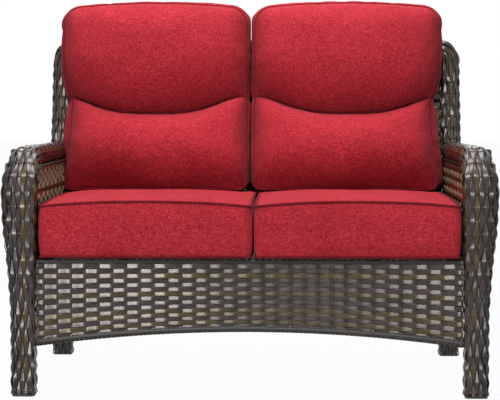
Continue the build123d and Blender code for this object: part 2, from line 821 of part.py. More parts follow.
def back_outline(inset):
    """Front outline of the back cushion, from its foot over its waist to its rounded head."""
    head = head_width / 2 - inset
    inner_waist = waist_width - head_width / 2 - inset
    outer_foot = foot_width - head_width / 2 - inset
    low = -lumbar_depth * sin(lean) - overrun
    waist_up = waist_height + waist_rise
    top = back_length - back_arch + back_top_crown * edge_bulge_share - inset
    peak = top + back_arch + back_top_crown
    arc = head_corner * (1 - cos(radians(45)))
    edges = [
        Line((-head, low), (outer_foot, low)),
        Line((outer_foot, low), (inner_waist, waist_up)),
        Line((inner_waist, waist_up), (head, top - head_corner)),
        ThreePointArc((head, top - head_corner), (head - arc, top - arc), (head - head_corner, top)),
        ThreePointArc((head - head_corner, top), (0, peak), (head_corner - head, top)),
        ThreePointArc((head_corner - head, top), (arc - head, top - arc), (-head, top - head_corner)),
        Line((-head, top - head_corner), (-head, low)),
    ]
    return make_face(edges)


back_cushion_plane = Plane(
    (back_middle_x, back_rest_y, back_low_z), x_dir=(1, 0, 0), z_dir=(0, -cos(lean), sin(lean))
)


def back_body(inset):
    """Back cushion drawn in by inset and cut to its front outline."""
    half = head_width / 2 + overrun
    block = loft([back_section(back_middle_x + share * half, swell, inset) for share, swell in swell_shares])
    cut = extrude(back_cushion_plane * back_outline(inset), lumbar_depth + lumbar_bulge + overrun)
    return block & (cut + extrude(back_cushion_plane * back_outline(inset), -overrun))


def above_waist(gap):
    """Space above the waist's scalloped seam, half a seam away from it."""
    half, high = head_width / 2 + overrun, back_length + 2 * back_top_crown
    edge = waist_height + waist_rise + gap
    edges = [
        ThreePointArc((-half, edge), (0, waist_height + gap), (half, edge)),
        Line((half, edge), (half, high)),
        Line((half, high), (-half, high)),
        Line((-half, high), (-half, edge)),
    ]
    return extrude(back_cushion_plane * make_face(edges), lumbar_depth + lumbar_bulge + overrun)


# Zippers


def zip_chain(plane):
    """A closed zipper chain, sunk into the face that the plane lies on."""
    return plane * Box(zip_length, zip_width, zip_depth, align=(Align.CENTER, Align.CENTER, Align.MAX))


def zip_slider(plane):
    """A slider with its pull tab, just above the chain at the closed end."""
    at = plane * Pos(slider_end_gap + slider_length / 2 - zip_length / 2, 0, slider_clearance)
    body = Box(slider_length, slider_width, slider_height, align=(Align.CENTER, Align.CENTER, Align.MIN))
    neck = Box(slider_length / 2, pull_width, slider_height / 2, align=(Align.MIN, Align.CENTER, Align.MIN))
    pull = Box(pull_length, pull_width, pull_thickness, align=(Align.MIN, Align.CENTER, Align.MIN))
    return at * (body + Pos(slider_length / 2 - pull_thickness) * neck + Pos(slider_length / 2) * pull)


seat_zip_plane = Plane(
    (seat_middle_x, seat_rear_y, (seat_low_z + seat_high_z) / 2), x_dir=(-1, 0, 0), z_dir=(0, 1, 0)
)
heel_rise = heel_height * cos(lean)
heel_run = heel_inset + heel_height * sin(lean)
heel_slope = hypot(heel_rise, heel_run)
back_zip_plane = Plane(
    (back_middle_x, back_rest_y - heel_inset + heel_run / 2, back_low_z + heel_rise / 2),
    x_dir=(-1, 0, 0),
    z_dir=(0, heel_rise / heel_slope, -heel_run / heel_slope),
)

seat_cover_shape = seat_body(0) - seat_body(cover_thickness)
seat_foam = seat_body(cover_thickness + fill_clearance)
back_cover_shape = back_body(0) - back_body(cover_thickness)
back_fill = back_body(cover_thickness + fill_clearance)
head_fill = back_fill & above_waist(waist_seam / 2)
lumbar_fill = back_fill - above_waist(-waist_seam / 2)

write_pair(seat_cover_shape - zip_chain(seat_zip_plane), "seat_cushion_cover")
write_pair(seat_foam, "seat_cushion_foam")
write_pair(zip_chain(seat_zip_plane), "seat_zip_chain")
write_pair(zip_slider(seat_zip_plane), "seat_zip_slider")
write_pair(back_cover_shape - zip_chain(back_zip_plane), "back_cushion_cover")
write_pair(lumbar_fill, "back_lumbar_fill")
write_pair(head_fill, "back_head_fill")
write_pair(zip_chain(back_zip_plane), "back_zip_chain")
write_pair(zip_slider(back_zip_plane), "back_zip_slider")
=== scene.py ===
"""Woven patio loveseat with rolled arms and four loose red cushions."""

import json
from math import asin, atan2, ceil, cos, pi, radians, sin, tan

import bpy
import numpy as np
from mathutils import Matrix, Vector, noise


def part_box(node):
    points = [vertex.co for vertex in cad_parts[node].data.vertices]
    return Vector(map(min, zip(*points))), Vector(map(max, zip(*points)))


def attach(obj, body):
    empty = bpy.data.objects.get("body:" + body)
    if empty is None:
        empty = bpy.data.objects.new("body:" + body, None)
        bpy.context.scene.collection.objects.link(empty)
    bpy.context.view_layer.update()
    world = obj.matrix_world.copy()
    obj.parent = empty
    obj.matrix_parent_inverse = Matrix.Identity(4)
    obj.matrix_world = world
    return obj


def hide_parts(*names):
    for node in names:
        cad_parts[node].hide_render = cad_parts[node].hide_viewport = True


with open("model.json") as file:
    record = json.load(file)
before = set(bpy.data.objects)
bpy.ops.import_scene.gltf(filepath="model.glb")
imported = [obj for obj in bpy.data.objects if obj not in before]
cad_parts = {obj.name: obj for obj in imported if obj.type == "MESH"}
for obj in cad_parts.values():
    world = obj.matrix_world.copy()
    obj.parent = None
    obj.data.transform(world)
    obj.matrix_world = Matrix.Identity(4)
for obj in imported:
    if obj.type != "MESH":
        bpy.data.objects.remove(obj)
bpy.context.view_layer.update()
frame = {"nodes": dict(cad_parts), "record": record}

# Sizes of the frame, in metres
deck_low, deck_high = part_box("seat_deck_weave")
arm_low, arm_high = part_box("arm_weave_right")
apron_low, apron_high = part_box("front_apron_weave")
outer_low, outer_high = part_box("side_weave_outer_right")
inner_low, inner_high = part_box("side_weave_inner_right")
_, border_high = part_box("back_border_weave")

bay_half = deck_high.x
deck_top = deck_high.z
rail_top = deck_low.z
foot_z = arm_low.z
leg_depth = 0.050
leg_outer = 0.6025
leg_corner = 0.013
arm_bend = 0.100
arm_overhang = bay_half - arm_low.x
arm_flare = arm_high.x - leg_outer
leg_y = arm_low.y + leg_depth / 2
leg_rear_y = leg_y + leg_depth / 2
arm_z = arm_high.z - leg_depth / 2
arm_under_z = arm_z - leg_depth / 2
arm_front_y = leg_y + arm_bend
inner_bend = arm_bend - leg_depth / 2
bend_z = arm_z - arm_bend
post_outer = border_high.x
post_width = post_outer - bay_half
post_depth = 0.046
post_corner = 0.013
post_x = post_outer - post_width / 2
top_bend = 0.034
knee_bend = 0.150
knee_z = 0.330
lean = radians(13.5)
splay = radians(12.8)
flat_half = post_width / 2 - post_corner
face_half = post_depth / 2 - post_corner
top_y = border_high.y - flat_half * sin(lean) - face_half * cos(lean) - post_corner
top_z = border_high.z - flat_half * cos(lean) - face_half * sin(lean) - post_corner
knee_y = top_y - (top_z - knee_z) * tan(lean)
foot_y = knee_y + knee_z * tan(splay)
post_at_arm_y = knee_y + (arm_z - knee_z) * tan(lean)
arm_end_gap = 0.020

# Rows and stakes of the panels: the rows pass over and under the stakes
stake_pitch = 0.0347
stake_width = 0.0056
stake_thickness = 0.0022
stake_step = 0.03
mauve_stake_share = 0.6
row_pitch = 0.0124
row_thickness = 0.0017
row_lift = 0.0030
row_tilt = radians(4.5)
row_width_share = 1.10
shortest_row = 0.006
wave_peak_share = 0.96
steps_per_wave = 8

# Strips along the limbs and the rings that hold them
limb_strips = 22
post_strips = 20
limb_lift = 0.0026
limb_thickness = 0.0024
ring_pitch = 0.0340
ring_width = 0.0026
ring_lift_share = 0.6
first_ring_gap = 0.006
last_ring_gap = 0.002
neck_share = 0.46
swell_share = 0.92
swell_power = 0.8
leaf_turn = radians(6)
leaf_wander = radians(9)
tip_step = 0.0045
tip_run = 0.012
tip_flare = 0.0010
tip_share = 0.35
foot_clearance = 0.0012
# The dark sheet inside each sleeve is painted shade between the strips: its depth, start, step and sides
liner_depth = 0.0050
liner_start = 0.004
liner_step = 0.012
liner_sides = 40

# How far a strip sways sideways, at what rate along it and with what shift from strip to strip
leaf_sway = (0.0003, 37, 2.1)
row_sway = (0.0004, 41, 1.7)

# Tints, from 0 to 1
tints = 5
olive, mauve, umber, slate, straw = (value / (tints - 1) for value in range(tints))
limb_tints = (olive, mauve, umber, umber, mauve, slate)
mixed_tints = (olive, mauve, umber, olive, mauve, umber, slate)
pale_tints = (straw, straw, olive)
rng = np.random.default_rng(7)

# Corners of a strip's section, as shares of half its width and half its thickness
section_shares = np.array([
    (-1.0, -0.2), (-0.94, 0.6), (-0.82, 0.94), (-0.6, 1.0), (0.6, 1.0),
    (0.82, 0.94), (0.94, 0.6), (1.0, -0.2), (0.6, -1.0), (-0.6, -1.0),
])


def vectors(*parts):
    """Vectors from their coordinates, each an array or one number for all."""
    return np.stack(np.broadcast_arrays(*parts), axis=-1)


def unit(ways):
    """Vectors scaled to length one."""
    return ways / np.maximum(np.linalg.norm(ways, axis=-1, keepdims=True), 1e-9)


def smooth_step(value, start, run):
    """Rises smoothly from 0 at the start to 1 at the end of the run."""
    share = np.clip((value - start) / run, 0, 1)
    return share * share * (3 - 2 * share)


def path_reach(path):
    """Distance from a path's start to each of its points."""
    steps = np.linalg.norm(np.diff(path, axis=0), axis=1)
    return np.concatenate([[0], np.cumsum(steps)])


def path_points(path, reach, places):
    """Points of a path at distances from its start."""
    return vectors(*(np.interp(places, reach, column) for column in path.T))


def tube_quads(rings, sides, closed=False):
    """Faces of a tube whose points come ring by ring."""
    here = np.arange(sides)
    following = (here + 1) % sides
    ring = np.arange(rings if closed else rings - 1)[:, None]
    near, far = ring * sides, (ring + 1) % rings * sides
    corners = [near + here, near + following, far + following, far + here]
    return np.stack(corners, axis=-1).reshape(-1, 4)


def mesh_piece(name, points, quads, material, tint=None):
    """A mesh object made from points and four-sided faces, in the row frame."""
    mesh = bpy.data.meshes.new(name)
    mesh.vertices.add(len(points))
    mesh.vertices.foreach_set("co", np.ascontiguousarray(points, dtype=np.float32).ravel())
    mesh.loops.add(len(quads) * 4)
    mesh.loops.foreach_set("vertex_index", np.ascontiguousarray(quads, dtype=np.int32).ravel())
    mesh.polygons.add(len(quads))
    mesh.polygons.foreach_set("loop_start", np.arange(len(quads), dtype=np.int32) * 4)
    mesh.polygons.foreach_set("use_smooth", np.ones(len(quads), dtype=bool))
    mesh.update(calc_edges=True)
    if tint is not None:
        point_values(mesh, "tint", tint)
    mesh.materials.append(material)
    return placed(name, mesh)


def placed(name, data):
    """An object in the scene that shows the given data."""
    piece = bpy.data.objects.new(name, data)
    bpy.context.scene.collection.objects.link(piece)
    return piece


def point_values(mesh, name, values):
    """Gives each point of a mesh a value that a material can read."""
    layer = mesh.attributes.new(name, "FLOAT", "POINT")
    layer.data.foreach_set("value", np.asarray(values, dtype=np.float32))


def read_points(mesh, field="co"):
    """Where a mesh's points are, or another of their vectors."""
    flat = np.empty(len(mesh.vertices) * 3, dtype=np.float32)
    mesh.vertices.foreach_get(field, flat)
    return flat.reshape(-1, 3).astype(float)


def move_points(mesh, points):
    """Puts a mesh's points in new places."""
    mesh.vertices.foreach_set("co", points.astype(np.float32).ravel())
    mesh.update()


def mirrored(piece, name):
    """A copy of a piece on the other side, with its own mesh."""
    mesh = piece.data.copy()
    mesh.name = name
    mesh.flip_normals()
    move_points(mesh, read_points(mesh) * (-1, 1, 1))
    return placed(name, mesh)


def settle(piece, body, slot, *nodes):
    """Lets a piece ride on a body and stand for its nodes; the slot is not used."""
    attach(piece, body)
    if nodes:
        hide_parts(*nodes)


def to_frame(piece, *nodes):
    """Settles a woven piece on the frame."""
    settle(piece, "frame", "wicker", *nodes)


# Strips


class Weave:
    """Gathers strips and turns them into one mesh with a tint for each strip."""

    def __init__(self):
        self.points, self.quads, self.tints, self.count = [], [], [], 0

    def strip(self, centre, across, normal, width, thickness, tint):
        """Adds one closed strip along the centre points."""
        width = np.broadcast_to(width, len(centre))
        side = across[:, None, :] * (section_shares[:, 0] * width[:, None] / 2)[:, :, None]
        lift = normal[:, None, :] * (section_shares[:, 1] * thickness / 2)[:, None]
        points = (centre[:, None, :] + side + lift).reshape(-1, 3)
        corners = len(section_shares)
        last = len(points) - corners
        start_cap = [(i, i + 1, corners - 2 - i, corners - 1 - i) for i in range(corners // 2 - 1)]
        end_cap = [[last + i for i in reversed(quad)] for quad in start_cap]
        quads = np.concatenate([tube_quads(len(centre), corners), start_cap, end_cap])
        self.points.append(points)
        self.quads.append(self.count + quads)
        self.tints.append(np.full(len(points), tint))
        self.count += len(points)

    def build(self, name):
        """Makes the mesh object."""
        points, quads, tint = (np.concatenate(part) for part in (self.points, self.quads, self.tints))
        return mesh_piece(name, points, quads, wicker, tint)


def straightened(swing):
    """A cosine wave drawn towards straight slopes, as a stiff strip runs."""
    return np.arcsin(wave_peak_share * swing) / asin(wave_peak_share)


def swayed(places, index, sway):
    """A strip's sideways sway at places along it."""
    size, rate, shift = sway
    return size * np.sin(places * rate + index * shift)


def turned(across, normal, angle):
    """A strip's two directions turned about its length, the normal towards across."""
    angle = np.reshape(angle, (-1, 1))
    cosine, sine = np.cos(angle), np.sin(angle)
    return across * cosine - normal * sine, normal * cosine + across * sine


# Materials


class NodeTree:
    """Adds nodes to the tree of a material or of the world."""

    def __init__(self, owner):
        owner.use_nodes = True
        self.nodes = owner.node_tree.nodes
        self.link = owner.node_tree.links.new

    def add(self, kind, **settings):
        """A node of a kind, with its plain settings and its inputs set by name."""
        node = self.nodes.new(kind)
        for key, value in settings.items():
            if hasattr(node, key):
                setattr(node, key, value)
            else:
                node.inputs[key.replace("_", " ")].default_value = value
        return node

    def noise(self, scale, stretch=(1, 1, 1), detail=2.0):
        """Noise over the object's own stretched coordinates, in metres."""
        place = self.add("ShaderNodeTexCoord").outputs["Object"]
        mapping = self.add("ShaderNodeMapping", Scale=stretch)
        texture = self.add("ShaderNodeTexNoise", Scale=scale, Detail=detail)
        self.link(place, mapping.inputs["Vector"])
        self.link(mapping.outputs["Vector"], texture.inputs["Vector"])
        return texture.outputs["Fac"]

    def attribute(self, name):
        """The value that each point of a mesh holds under a name."""
        return self.add("ShaderNodeAttribute", attribute_name=name).outputs["Fac"]

    def ramp(self, source, stops, interpolation="LINEAR"):
        """The colour that a ramp with the given stops gives a source."""
        node = self.add("ShaderNodeValToRGB")
        node.color_ramp.interpolation = interpolation
        while len(node.color_ramp.elements) < len(stops):
            node.color_ramp.elements.new(0.5)
        for element, (place, colour) in zip(node.color_ramp.elements, stops):
            element.position = place
            element.color = (*colour, 1.0)
        self.link(source, node.inputs["Fac"])
        return node.outputs["Color"]

    def multiply(self, first, second, factor=1.0):
        """One colour multiplied by another, as far as the factor says."""
        node = self.add("ShaderNodeMix", data_type="RGBA", blend_type="MULTIPLY")
        node.inputs["Factor"].default_value = factor
        self.link(first, node.inputs["A"])
        self.link(second, node.inputs["B"])
        return node.outputs["Result"]

    def calculate(self, operation, first, second):
        """The result of a calculation with two outputs, or with an output and a number."""
        node = self.add("ShaderNodeMath", operation=operation)
        self.link(first, node.inputs[0])
        if isinstance(second, float):
            node.inputs[1].default_value = second
        else:
            self.link(second, node.inputs[1])
        return node.outputs["Value"]

    def bump(self, height, strength, distance, shader):
        """Links a height to the shader as bump."""
        node = self.add("ShaderNodeBump", Strength=strength, Distance=distance)
        self.link(height, node.inputs["Height"])
        self.link(node.outputs["Normal"], shader.inputs["Normal"])

    def seen_rays(self):
        """1 for rays from the camera, off gloss or through glass, and 0 for all others."""
        path = self.add("ShaderNodeLightPath").outputs
        seen = self.calculate("MAXIMUM", path["Is Camera Ray"], path["Is Glossy Ray"])
        return self.calculate("MAXIMUM", seen, path["Is Transmission Ray"])


def new_material(name, roughness, specular=0.5, **inputs):
    """A material with its tree and its shader, ready for a colour to be linked."""
    material = bpy.data.materials.new(name)
    tree = NodeTree(material)
    shader = tree.nodes["Principled BSDF"]
    shader.inputs["Roughness"].default_value = roughness
    shader.inputs["Specular IOR Level"].default_value = specular
    for key, value in inputs.items():
        shader.inputs[key.replace("_", " ")].default_value = value
    return material, tree, shader


# Olive, mauve, umber, slate and straw
strip_colours = (
    (0.054, 0.038, 0.011), (0.035, 0.024, 0.026), (0.022, 0.014, 0.008), (0.008, 0.007, 0.007),
    (0.270, 0.300, 0.210),
)
strip_patches = [(0.28, (0.62, 0.60, 0.58)), (0.72, (1.25, 1.24, 1.22))]
strip_grain = [(0.30, (0.80, 0.80, 0.80)), (0.70, (1.12, 1.12, 1.12))]
gloss_tint = (1.0, 0.94, 0.88, 1.0)


def wicker_material():
    """Resin strips in mixed tints, with a fine grain and a soft gloss."""
    material, tree, shader = new_material("wicker", 0.23, 0.46, Specular_Tint=gloss_tint)
    stops = [(max(0.0, (i - 0.5) / (tints - 1)), colour) for i, colour in enumerate(strip_colours)]
    colour = tree.ramp(tree.attribute("tint"), stops, "CONSTANT")
    colour = tree.multiply(colour, tree.ramp(tree.noise(26.0, detail=3.0), strip_patches))
    grain = tree.noise(900.0, (0.12, 0.12, 1.0), detail=1.0)
    colour = tree.multiply(colour, tree.ramp(grain, strip_grain))
    tree.link(colour, shader.inputs["Base Color"])
    tree.bump(grain, 0.25, 0.0004, shader)
    return material


dyes = [(0.3, (0.36, 0.019, 0.029)), (0.7, (0.42, 0.023, 0.036))]
thread_stretches = ((0.12, 1, 1), (1, 0.12, 1), (1, 1, 0.12))
thread_flecks = [(0.34, (0.74, 0.66, 0.68)), (0.5, (1.0, 1.0, 1.0)), (0.68, (1.24, 1.55, 1.45))]
slub_stretches = ((1, 1, 0.14), (0.14, 1, 1))
slub_flecks = [(0.32, (0.86, 0.81, 0.83)), (0.5, (1.0, 1.0, 1.0)), (0.68, (1.14, 1.26, 1.22))]
# Painted shade: how dark a seam value from 0 to 1 paints the cloth
painted_shade_stops = [(0.0, (1.0, 1.0, 1.0)), (1.0, (0.12, 0.10, 0.10))]


def fabric_material(name, depth):
    """Heathered red cloth: crossed slub threads with pale and dark flecks; depth scales the dye, and each
    point's seam value darkens it as painted shade.
    """
    material, tree, shader = new_material(name, 1.0, 0.06, Sheen_Weight=0.05, Sheen_Roughness=0.5)
    first, *others = (tree.noise(1150.0, stretch, detail=1.0) for stretch in thread_stretches)
    flecks, height = tree.ramp(first, thread_flecks), first
    for threads in others:
        flecks = tree.multiply(flecks, tree.ramp(threads, thread_flecks), 0.75)
        height = tree.calculate("ADD", height, threads)
    for stretch in slub_stretches:
        slubs = tree.noise(480.0, stretch, detail=0.0)
        flecks = tree.multiply(flecks, tree.ramp(slubs, slub_flecks))
    stops = [(place, tuple(depth * value for value in dye)) for place, dye in dyes]
    colour = tree.multiply(tree.ramp(tree.noise(9.0, detail=3.0), stops), flecks)
    # Painted shade: each point's seam value darkens the cloth where shadow falls
    colour = tree.multiply(colour, tree.ramp(tree.attribute("seam"), painted_shade_stops))
    tree.link(colour, shader.inputs["Base Color"])
    tree.bump(height, 0.35, 0.0006, shader)
    return material


def plain_material(name, colour, roughness, metallic=0.0, scale=60.0, depth=0.0002):
    """A moulded or coated surface with faint mottling and bump."""
    material, tree, shader = new_material(name, roughness, Metallic=metallic)
    mottle = tree.noise(scale, detail=4.0)
    dark = tuple(0.82 * value for value in colour)
    light = tuple(min(1.0, 1.15 * value) for value in colour)
    tree.link(tree.ramp(mottle, [(0.35, dark), (0.65, light)]), shader.inputs["Base Color"])
    tree.bump(mottle, 0.2, depth, shader)
    return material


wicker = wicker_material()
fabric = fabric_material("cushion_fabric", 1.0)
# The piping's cloth is the cushions' red painted darker: painted shade for the groove along each seam
painted_shade_piping_fabric = fabric_material("painted_shade_piping_fabric", 0.42)
# Near-black coat of the sheets of painted shade inside the sleeves
sleeve_shade_coat = plain_material("shade_sheet", (0.022, 0.019, 0.016), 0.8)
moulded = plain_material("glide_plastic", (0.02, 0.02, 0.02), 0.5)

node_materials = {
    "steel_tube": plain_material("tube_coat", (0.045, 0.042, 0.040), 0.45, scale=400.0),
    "former": moulded,
    "glide": moulded,
    "fastener": plain_material("zinc", (0.62, 0.62, 0.60), 0.35, metallic=1.0, scale=300.0),
    "zipper": plain_material("zip_tape", (0.20, 0.010, 0.018), 0.7, scale=900.0),
    "zipper_pull": plain_material("zip_metal", (0.50, 0.49, 0.47), 0.3, metallic=1.0, scale=300.0),
    "foam": plain_material("foam", (0.78, 0.74, 0.60), 0.95, scale=500.0, depth=0.001),
    "wicker": wicker,
    "cushion_fabric": fabric,
}
for subpart in frame["record"]["subparts"]:
    node = frame["nodes"][subpart["node"]]
    for holder in node.material_slots:
        holder.material = node_materials[subpart["material_slot"]]


# Limbs: the lines that the sleeves follow and the sleeves' rounded sections


def rounded_outline(share, width, depth, corner):
    """Points (a, b) and normals at shares of the way round a rounded rectangle, from its inner side."""
    long_side, half_side = width - 2 * corner, depth / 2 - corner
    sides = (half_side, long_side, 2 * half_side, long_side, half_side)
    starts = (
        (-width / 2, 0),
        (-width / 2 + corner, depth / 2),
        (width / 2, depth / 2 - corner),
        (width / 2 - corner, -depth / 2),
        (-width / 2, -depth / 2 + corner),
    )
    turn = corner * pi / 2
    along = share * (sum(sides) + 4 * turn)
    found = np.zeros((4, *along.shape))
    reached = np.zeros_like(along)
    for index, (side, (start_a, start_b)) in enumerate(zip(sides, starts)):
        angle = pi - index * pi / 2
        out_a, out_b = cos(angle), sin(angle)
        step = along - reached
        straight = np.broadcast_arrays(start_a + out_b * step, start_b - out_a * step, out_a, out_b)
        found = np.where((along >= reached) & (along <= reached + side), straight, found)
        reached = reached + side
        if index == 4:
            break
        bent = angle - (along - reached) / corner
        round_a, round_b = np.cos(bent), np.sin(bent)
        centre_a = start_a + out_b * side - out_a * corner
        centre_b = start_b - out_a * side - out_b * corner
        arc = np.array([centre_a + corner * round_a, centre_b + corner * round_b, round_a, round_b])
        found = np.where((along > reached) & (along < reached + turn), arc, found)
        reached = reached + turn
    return found


class ArmLimb:
    """The front leg, the arm's bend and the arm, on the right."""

    strips = limb_strips
    leg_run = bend_z - foot_z
    bend_run = arm_bend * pi / 2
    length = leg_run + bend_run + post_at_arm_y - arm_end_gap - arm_front_y
    flare_places = (0.0, 0.42, 0.55, 0.68, 0.80, 0.90, 1.0)
    flare_shares = (0.0, 0.0, 0.15, 0.42, 0.71, 0.91, 1.0)
    top_flare = 0.35
    top_corner = 0.0245
    hang_places = (0.0, 0.68, 0.86, 1.0)
    hang_shares = (0.0, 0.0, 0.55, 1.0)

    def place(self, s):
        """Centre, tangent, sideways and facing directions, width, depth and corner at distances s."""
        turn = np.clip((s - self.leg_run) / arm_bend, 0, pi / 2)
        rest = np.maximum(s - self.leg_run - self.bend_run, 0)
        y = arm_front_y - arm_bend * np.cos(turn) + rest
        z = np.minimum(foot_z + s, bend_z) + arm_bend * np.sin(turn)
        leg = np.clip(s / self.leg_run, 0, 1)
        arm = np.clip(rest / (post_at_arm_y - post_depth / 2 - arm_front_y), 0, 1)
        narrow = (post_outer - leg_outer) / arm_flare
        fold = smooth_step(turn, 0, pi / 2) * (1 - arm)
        flare = np.interp(leg, self.flare_places, self.flare_shares)
        flare = flare + (narrow - 1) * arm - (1 - self.top_flare) * fold
        corner = leg_corner + (self.top_corner - leg_corner) * smooth_step(turn, 0, pi / 3)
        hang = np.interp(leg, self.hang_places, self.hang_shares) * (1 - arm)
        low = bay_half - arm_overhang * hang
        high = leg_outer + arm_flare * flare
        centre = vectors((low + high) / 2, y, z)
        tangent = vectors(0, np.sin(turn), np.cos(turn))
        side = np.broadcast_to((1, 0, 0), centre.shape)
        face = vectors(0, -np.cos(turn), np.sin(turn))
        return centre, tangent, side, face, high - low, leg_depth, corner


class PostLimb:
    """The rear legs and the back's border: one line from the right foot over the top to the left foot."""

    strips = post_strips
    knee_reach = knee_bend * tan((lean + splay) / 2)
    knee_arc = knee_bend * (lean + splay)
    leg_run = knee_z / cos(splay) - foot_z
    knee_run = leg_run + knee_arc / 2
    side_run = leg_run + (top_z - knee_z) / cos(lean) - top_bend
    corner_run = top_bend * pi / 2
    length = 2 * (side_run + corner_run) + 2 * (post_x - top_bend)

    def plane(self, up):
        """(Y, Z) and tilt on the bent plane of the legs and the back, a distance up from the foot."""
        past = up - self.leg_run + self.knee_reach
        below = np.minimum(past, 0)
        above = np.maximum(past - self.knee_arc, 0)
        tilt = -splay + np.clip(past, 0, self.knee_arc) / knee_bend
        low_y = knee_y + self.knee_reach * sin(splay)
        low_z = knee_z - self.knee_reach * cos(splay)
        y = low_y - below * sin(splay) + knee_bend * (cos(splay) - np.cos(tilt)) + above * sin(lean)
        z = low_z + below * cos(splay) + knee_bend * (np.sin(tilt) + sin(splay)) + above * cos(lean)
        return y, z, tilt

    def place(self, s):
        """Centre, tangent, sideways and facing directions, width, depth and corner at distances s."""
        back = s > self.length / 2
        way = np.where(back, self.length - s, s)
        turn = np.clip((way - self.side_run) / top_bend, 0, pi / 2)
        inward = np.maximum(way - self.side_run - self.corner_run, 0)
        up = np.minimum(way, self.side_run) + top_bend * np.sin(turn)
        x = post_x - top_bend * (1 - np.cos(turn)) - inward
        # The knee's arc is this much shorter than the corner that it rounds off
        saved = 2 * self.knee_reach - self.knee_arc
        y, z, tilt = self.plane(np.where(up > self.leg_run, up - saved, up))
        sign = np.where(back, -1.0, 1.0)
        climb = vectors(0, np.sin(tilt), np.cos(tilt))
        across = np.array([1.0, 0.0, 0.0])
        cosine, sine = (sign * np.cos(turn))[:, None], np.sin(turn)[:, None]
        tangent = cosine * climb - sine * across
        side = cosine * across + sine * climb
        face = vectors(0, -np.cos(tilt), np.sin(tilt))
        width = np.full_like(s, post_width)
        return vectors(sign * x, y, z), tangent, side, face, width, post_depth, post_corner


def limb_surface(limb, s, share, lift):
    """Points, normals, ways round and along and the girth of a limb, raised by lift from its surface."""
    centre, tangent, side, face, width, depth, corner = limb.place(s)
    a, b, normal_a, normal_b = rounded_outline(share, width, depth, corner)
    normal = side * normal_a[:, None] + face * normal_b[:, None]
    point = centre + side * a[:, None] + face * b[:, None] + normal * lift[:, None]
    girth = 2 * (width + depth) - (8 - 2 * pi) * corner
    return point, normal, unit(np.cross(tangent, normal)), tangent, girth


def add_limb_strip(weave, limb, index, s, base, open_end):
    """Adds a strip along a limb, which swells where it passes over a ring."""
    swing = np.cos(pi * (s / ring_pitch + index))
    rise = limb_lift * straightened(swing)
    swell = (0.5 + 0.5 * swing) ** swell_power
    from_end = s - s[0] - (tip_step if index % 2 else 0)
    tip = np.clip(from_end / tip_run, 0, 1) if open_end else np.ones_like(s)
    kept = from_end > -1e-9 if open_end else np.ones(len(s), dtype=bool)
    share = np.full_like(s, (index + 0.5) / limb.strips)
    lift = base + rise + tip_flare * (1 - tip)
    point, normal, across, tangent, girth = limb_surface(limb, s, share, lift)
    narrowing = np.sqrt(tip_share + (1 - tip_share) * tip)
    width = girth / limb.strips * (neck_share + swell_share * swell) * narrowing
    tilted = unit(normal - tangent * np.gradient(rise, s)[:, None])
    turns = rng.normal(0, leaf_wander, int(s[-1] / ring_pitch) + 3)
    facing = np.maximum(-normal[:, 1], 0)
    angle = np.interp(s / ring_pitch, np.arange(len(turns)), turns) + leaf_turn * facing
    across, tilted = turned(across, tilted, angle)
    centre = point + across * swayed(s, index, leaf_sway)[:, None]
    shown = (part[kept] for part in (centre, across, tilted, width))
    weave.strip(*shown, limb_thickness, rng.choice(limb_tints))


def sleeve(name, limb, start, end, open_end=False):
    """A woven sleeve: strips along the limb, held by thin rings that they pass over and under."""
    weave = Weave()
    count = max(2, ceil((end - start) / ring_pitch * steps_per_wave))
    s = np.linspace(start, end, count + 1)
    base = -limb_lift - row_thickness / 2
    for index in range(limb.strips):
        add_limb_strip(weave, limb, index, s, base, open_end)
    share = np.linspace(0, 1, limb.strips * 4 + 1)
    first_ring = ceil((start + first_ring_gap) / ring_pitch)
    last_ring = int((end - last_ring_gap) / ring_pitch)
    for ring in range(first_ring, last_ring + 1):
        lift = base - ring_lift_share * limb_lift * np.cos(pi * (ring + share * limb.strips - 0.5))
        place = np.full_like(share, ring * ring_pitch)
        point, normal, _, tangent, _ = limb_surface(limb, place, share, lift)
        weave.strip(point, tangent, normal, ring_width, row_thickness, umber)
    return weave.build(name)


def shade_sheet(name, limb, start, end):
    """A dark sheet inside a sleeve: painted shade that shows between its strips."""
    count = max(2, ceil((end - start) / liner_step))
    s = np.linspace(start, end, count + 1)
    sink = np.full_like(s, -liner_depth)
    lines = [limb_surface(limb, s, np.full_like(s, i / liner_sides), sink)[0] for i in range(liner_sides)]
    points = np.stack(lines, axis=1).reshape(-1, 3)
    return mesh_piece(name, points, tube_quads(count + 1, liner_sides), sleeve_shade_coat)


def paired_sleeve(name, limb, end):
    """An open-ended sleeve with its dark sheet of painted shade on the right, and their mirrored copies
    on the left.
    """
    piece = sleeve(f"{name}_sleeve_right", limb, foot_clearance, end, open_end=True)
    shade_lining = shade_sheet(f"{name}_lining_right", limb, liner_start, end)
    to_frame(piece, f"{name}_weave_right")
    to_frame(shade_lining)
    to_frame(mirrored(piece, f"{name}_sleeve_left"), f"{name}_weave_left")
    to_frame(mirrored(shade_lining, f"{name}_lining_left"))


def build_limbs():
    """The four sleeves and the back's border, each with its dark sheet of painted shade."""
    arm, post = ArmLimb(), PostLimb()
    paired_sleeve("arm", arm, arm.length)
    paired_sleeve("rear_leg", post, post.knee_run)
    ends = (post.knee_run, post.length - post.knee_run)
    to_frame(sleeve("back_border_sleeve", post, *ends), "back_border_weave")
    # The back border's dark sheet of painted shade
    to_frame(shade_sheet("back_border_lining", post, *ends))


# Panels: rows woven over and under upright stakes


class Panel:
    """The plane of a woven panel: where a point along its rows and up its stakes lies."""

    def __init__(self, origin, along, up):
        self.origin, self.along, self.up = (np.array(value, float) for value in (origin, along, up))
        self.out = np.cross(self.along, self.up)

    def at(self, u, v, out):
        """Points at u along the rows, v up the stakes and out of the panel."""
        parts = ((u, self.along), (v, self.up), (out, self.out))
        return self.origin + sum(np.reshape(size, (-1, 1)) * way for size, way in parts)


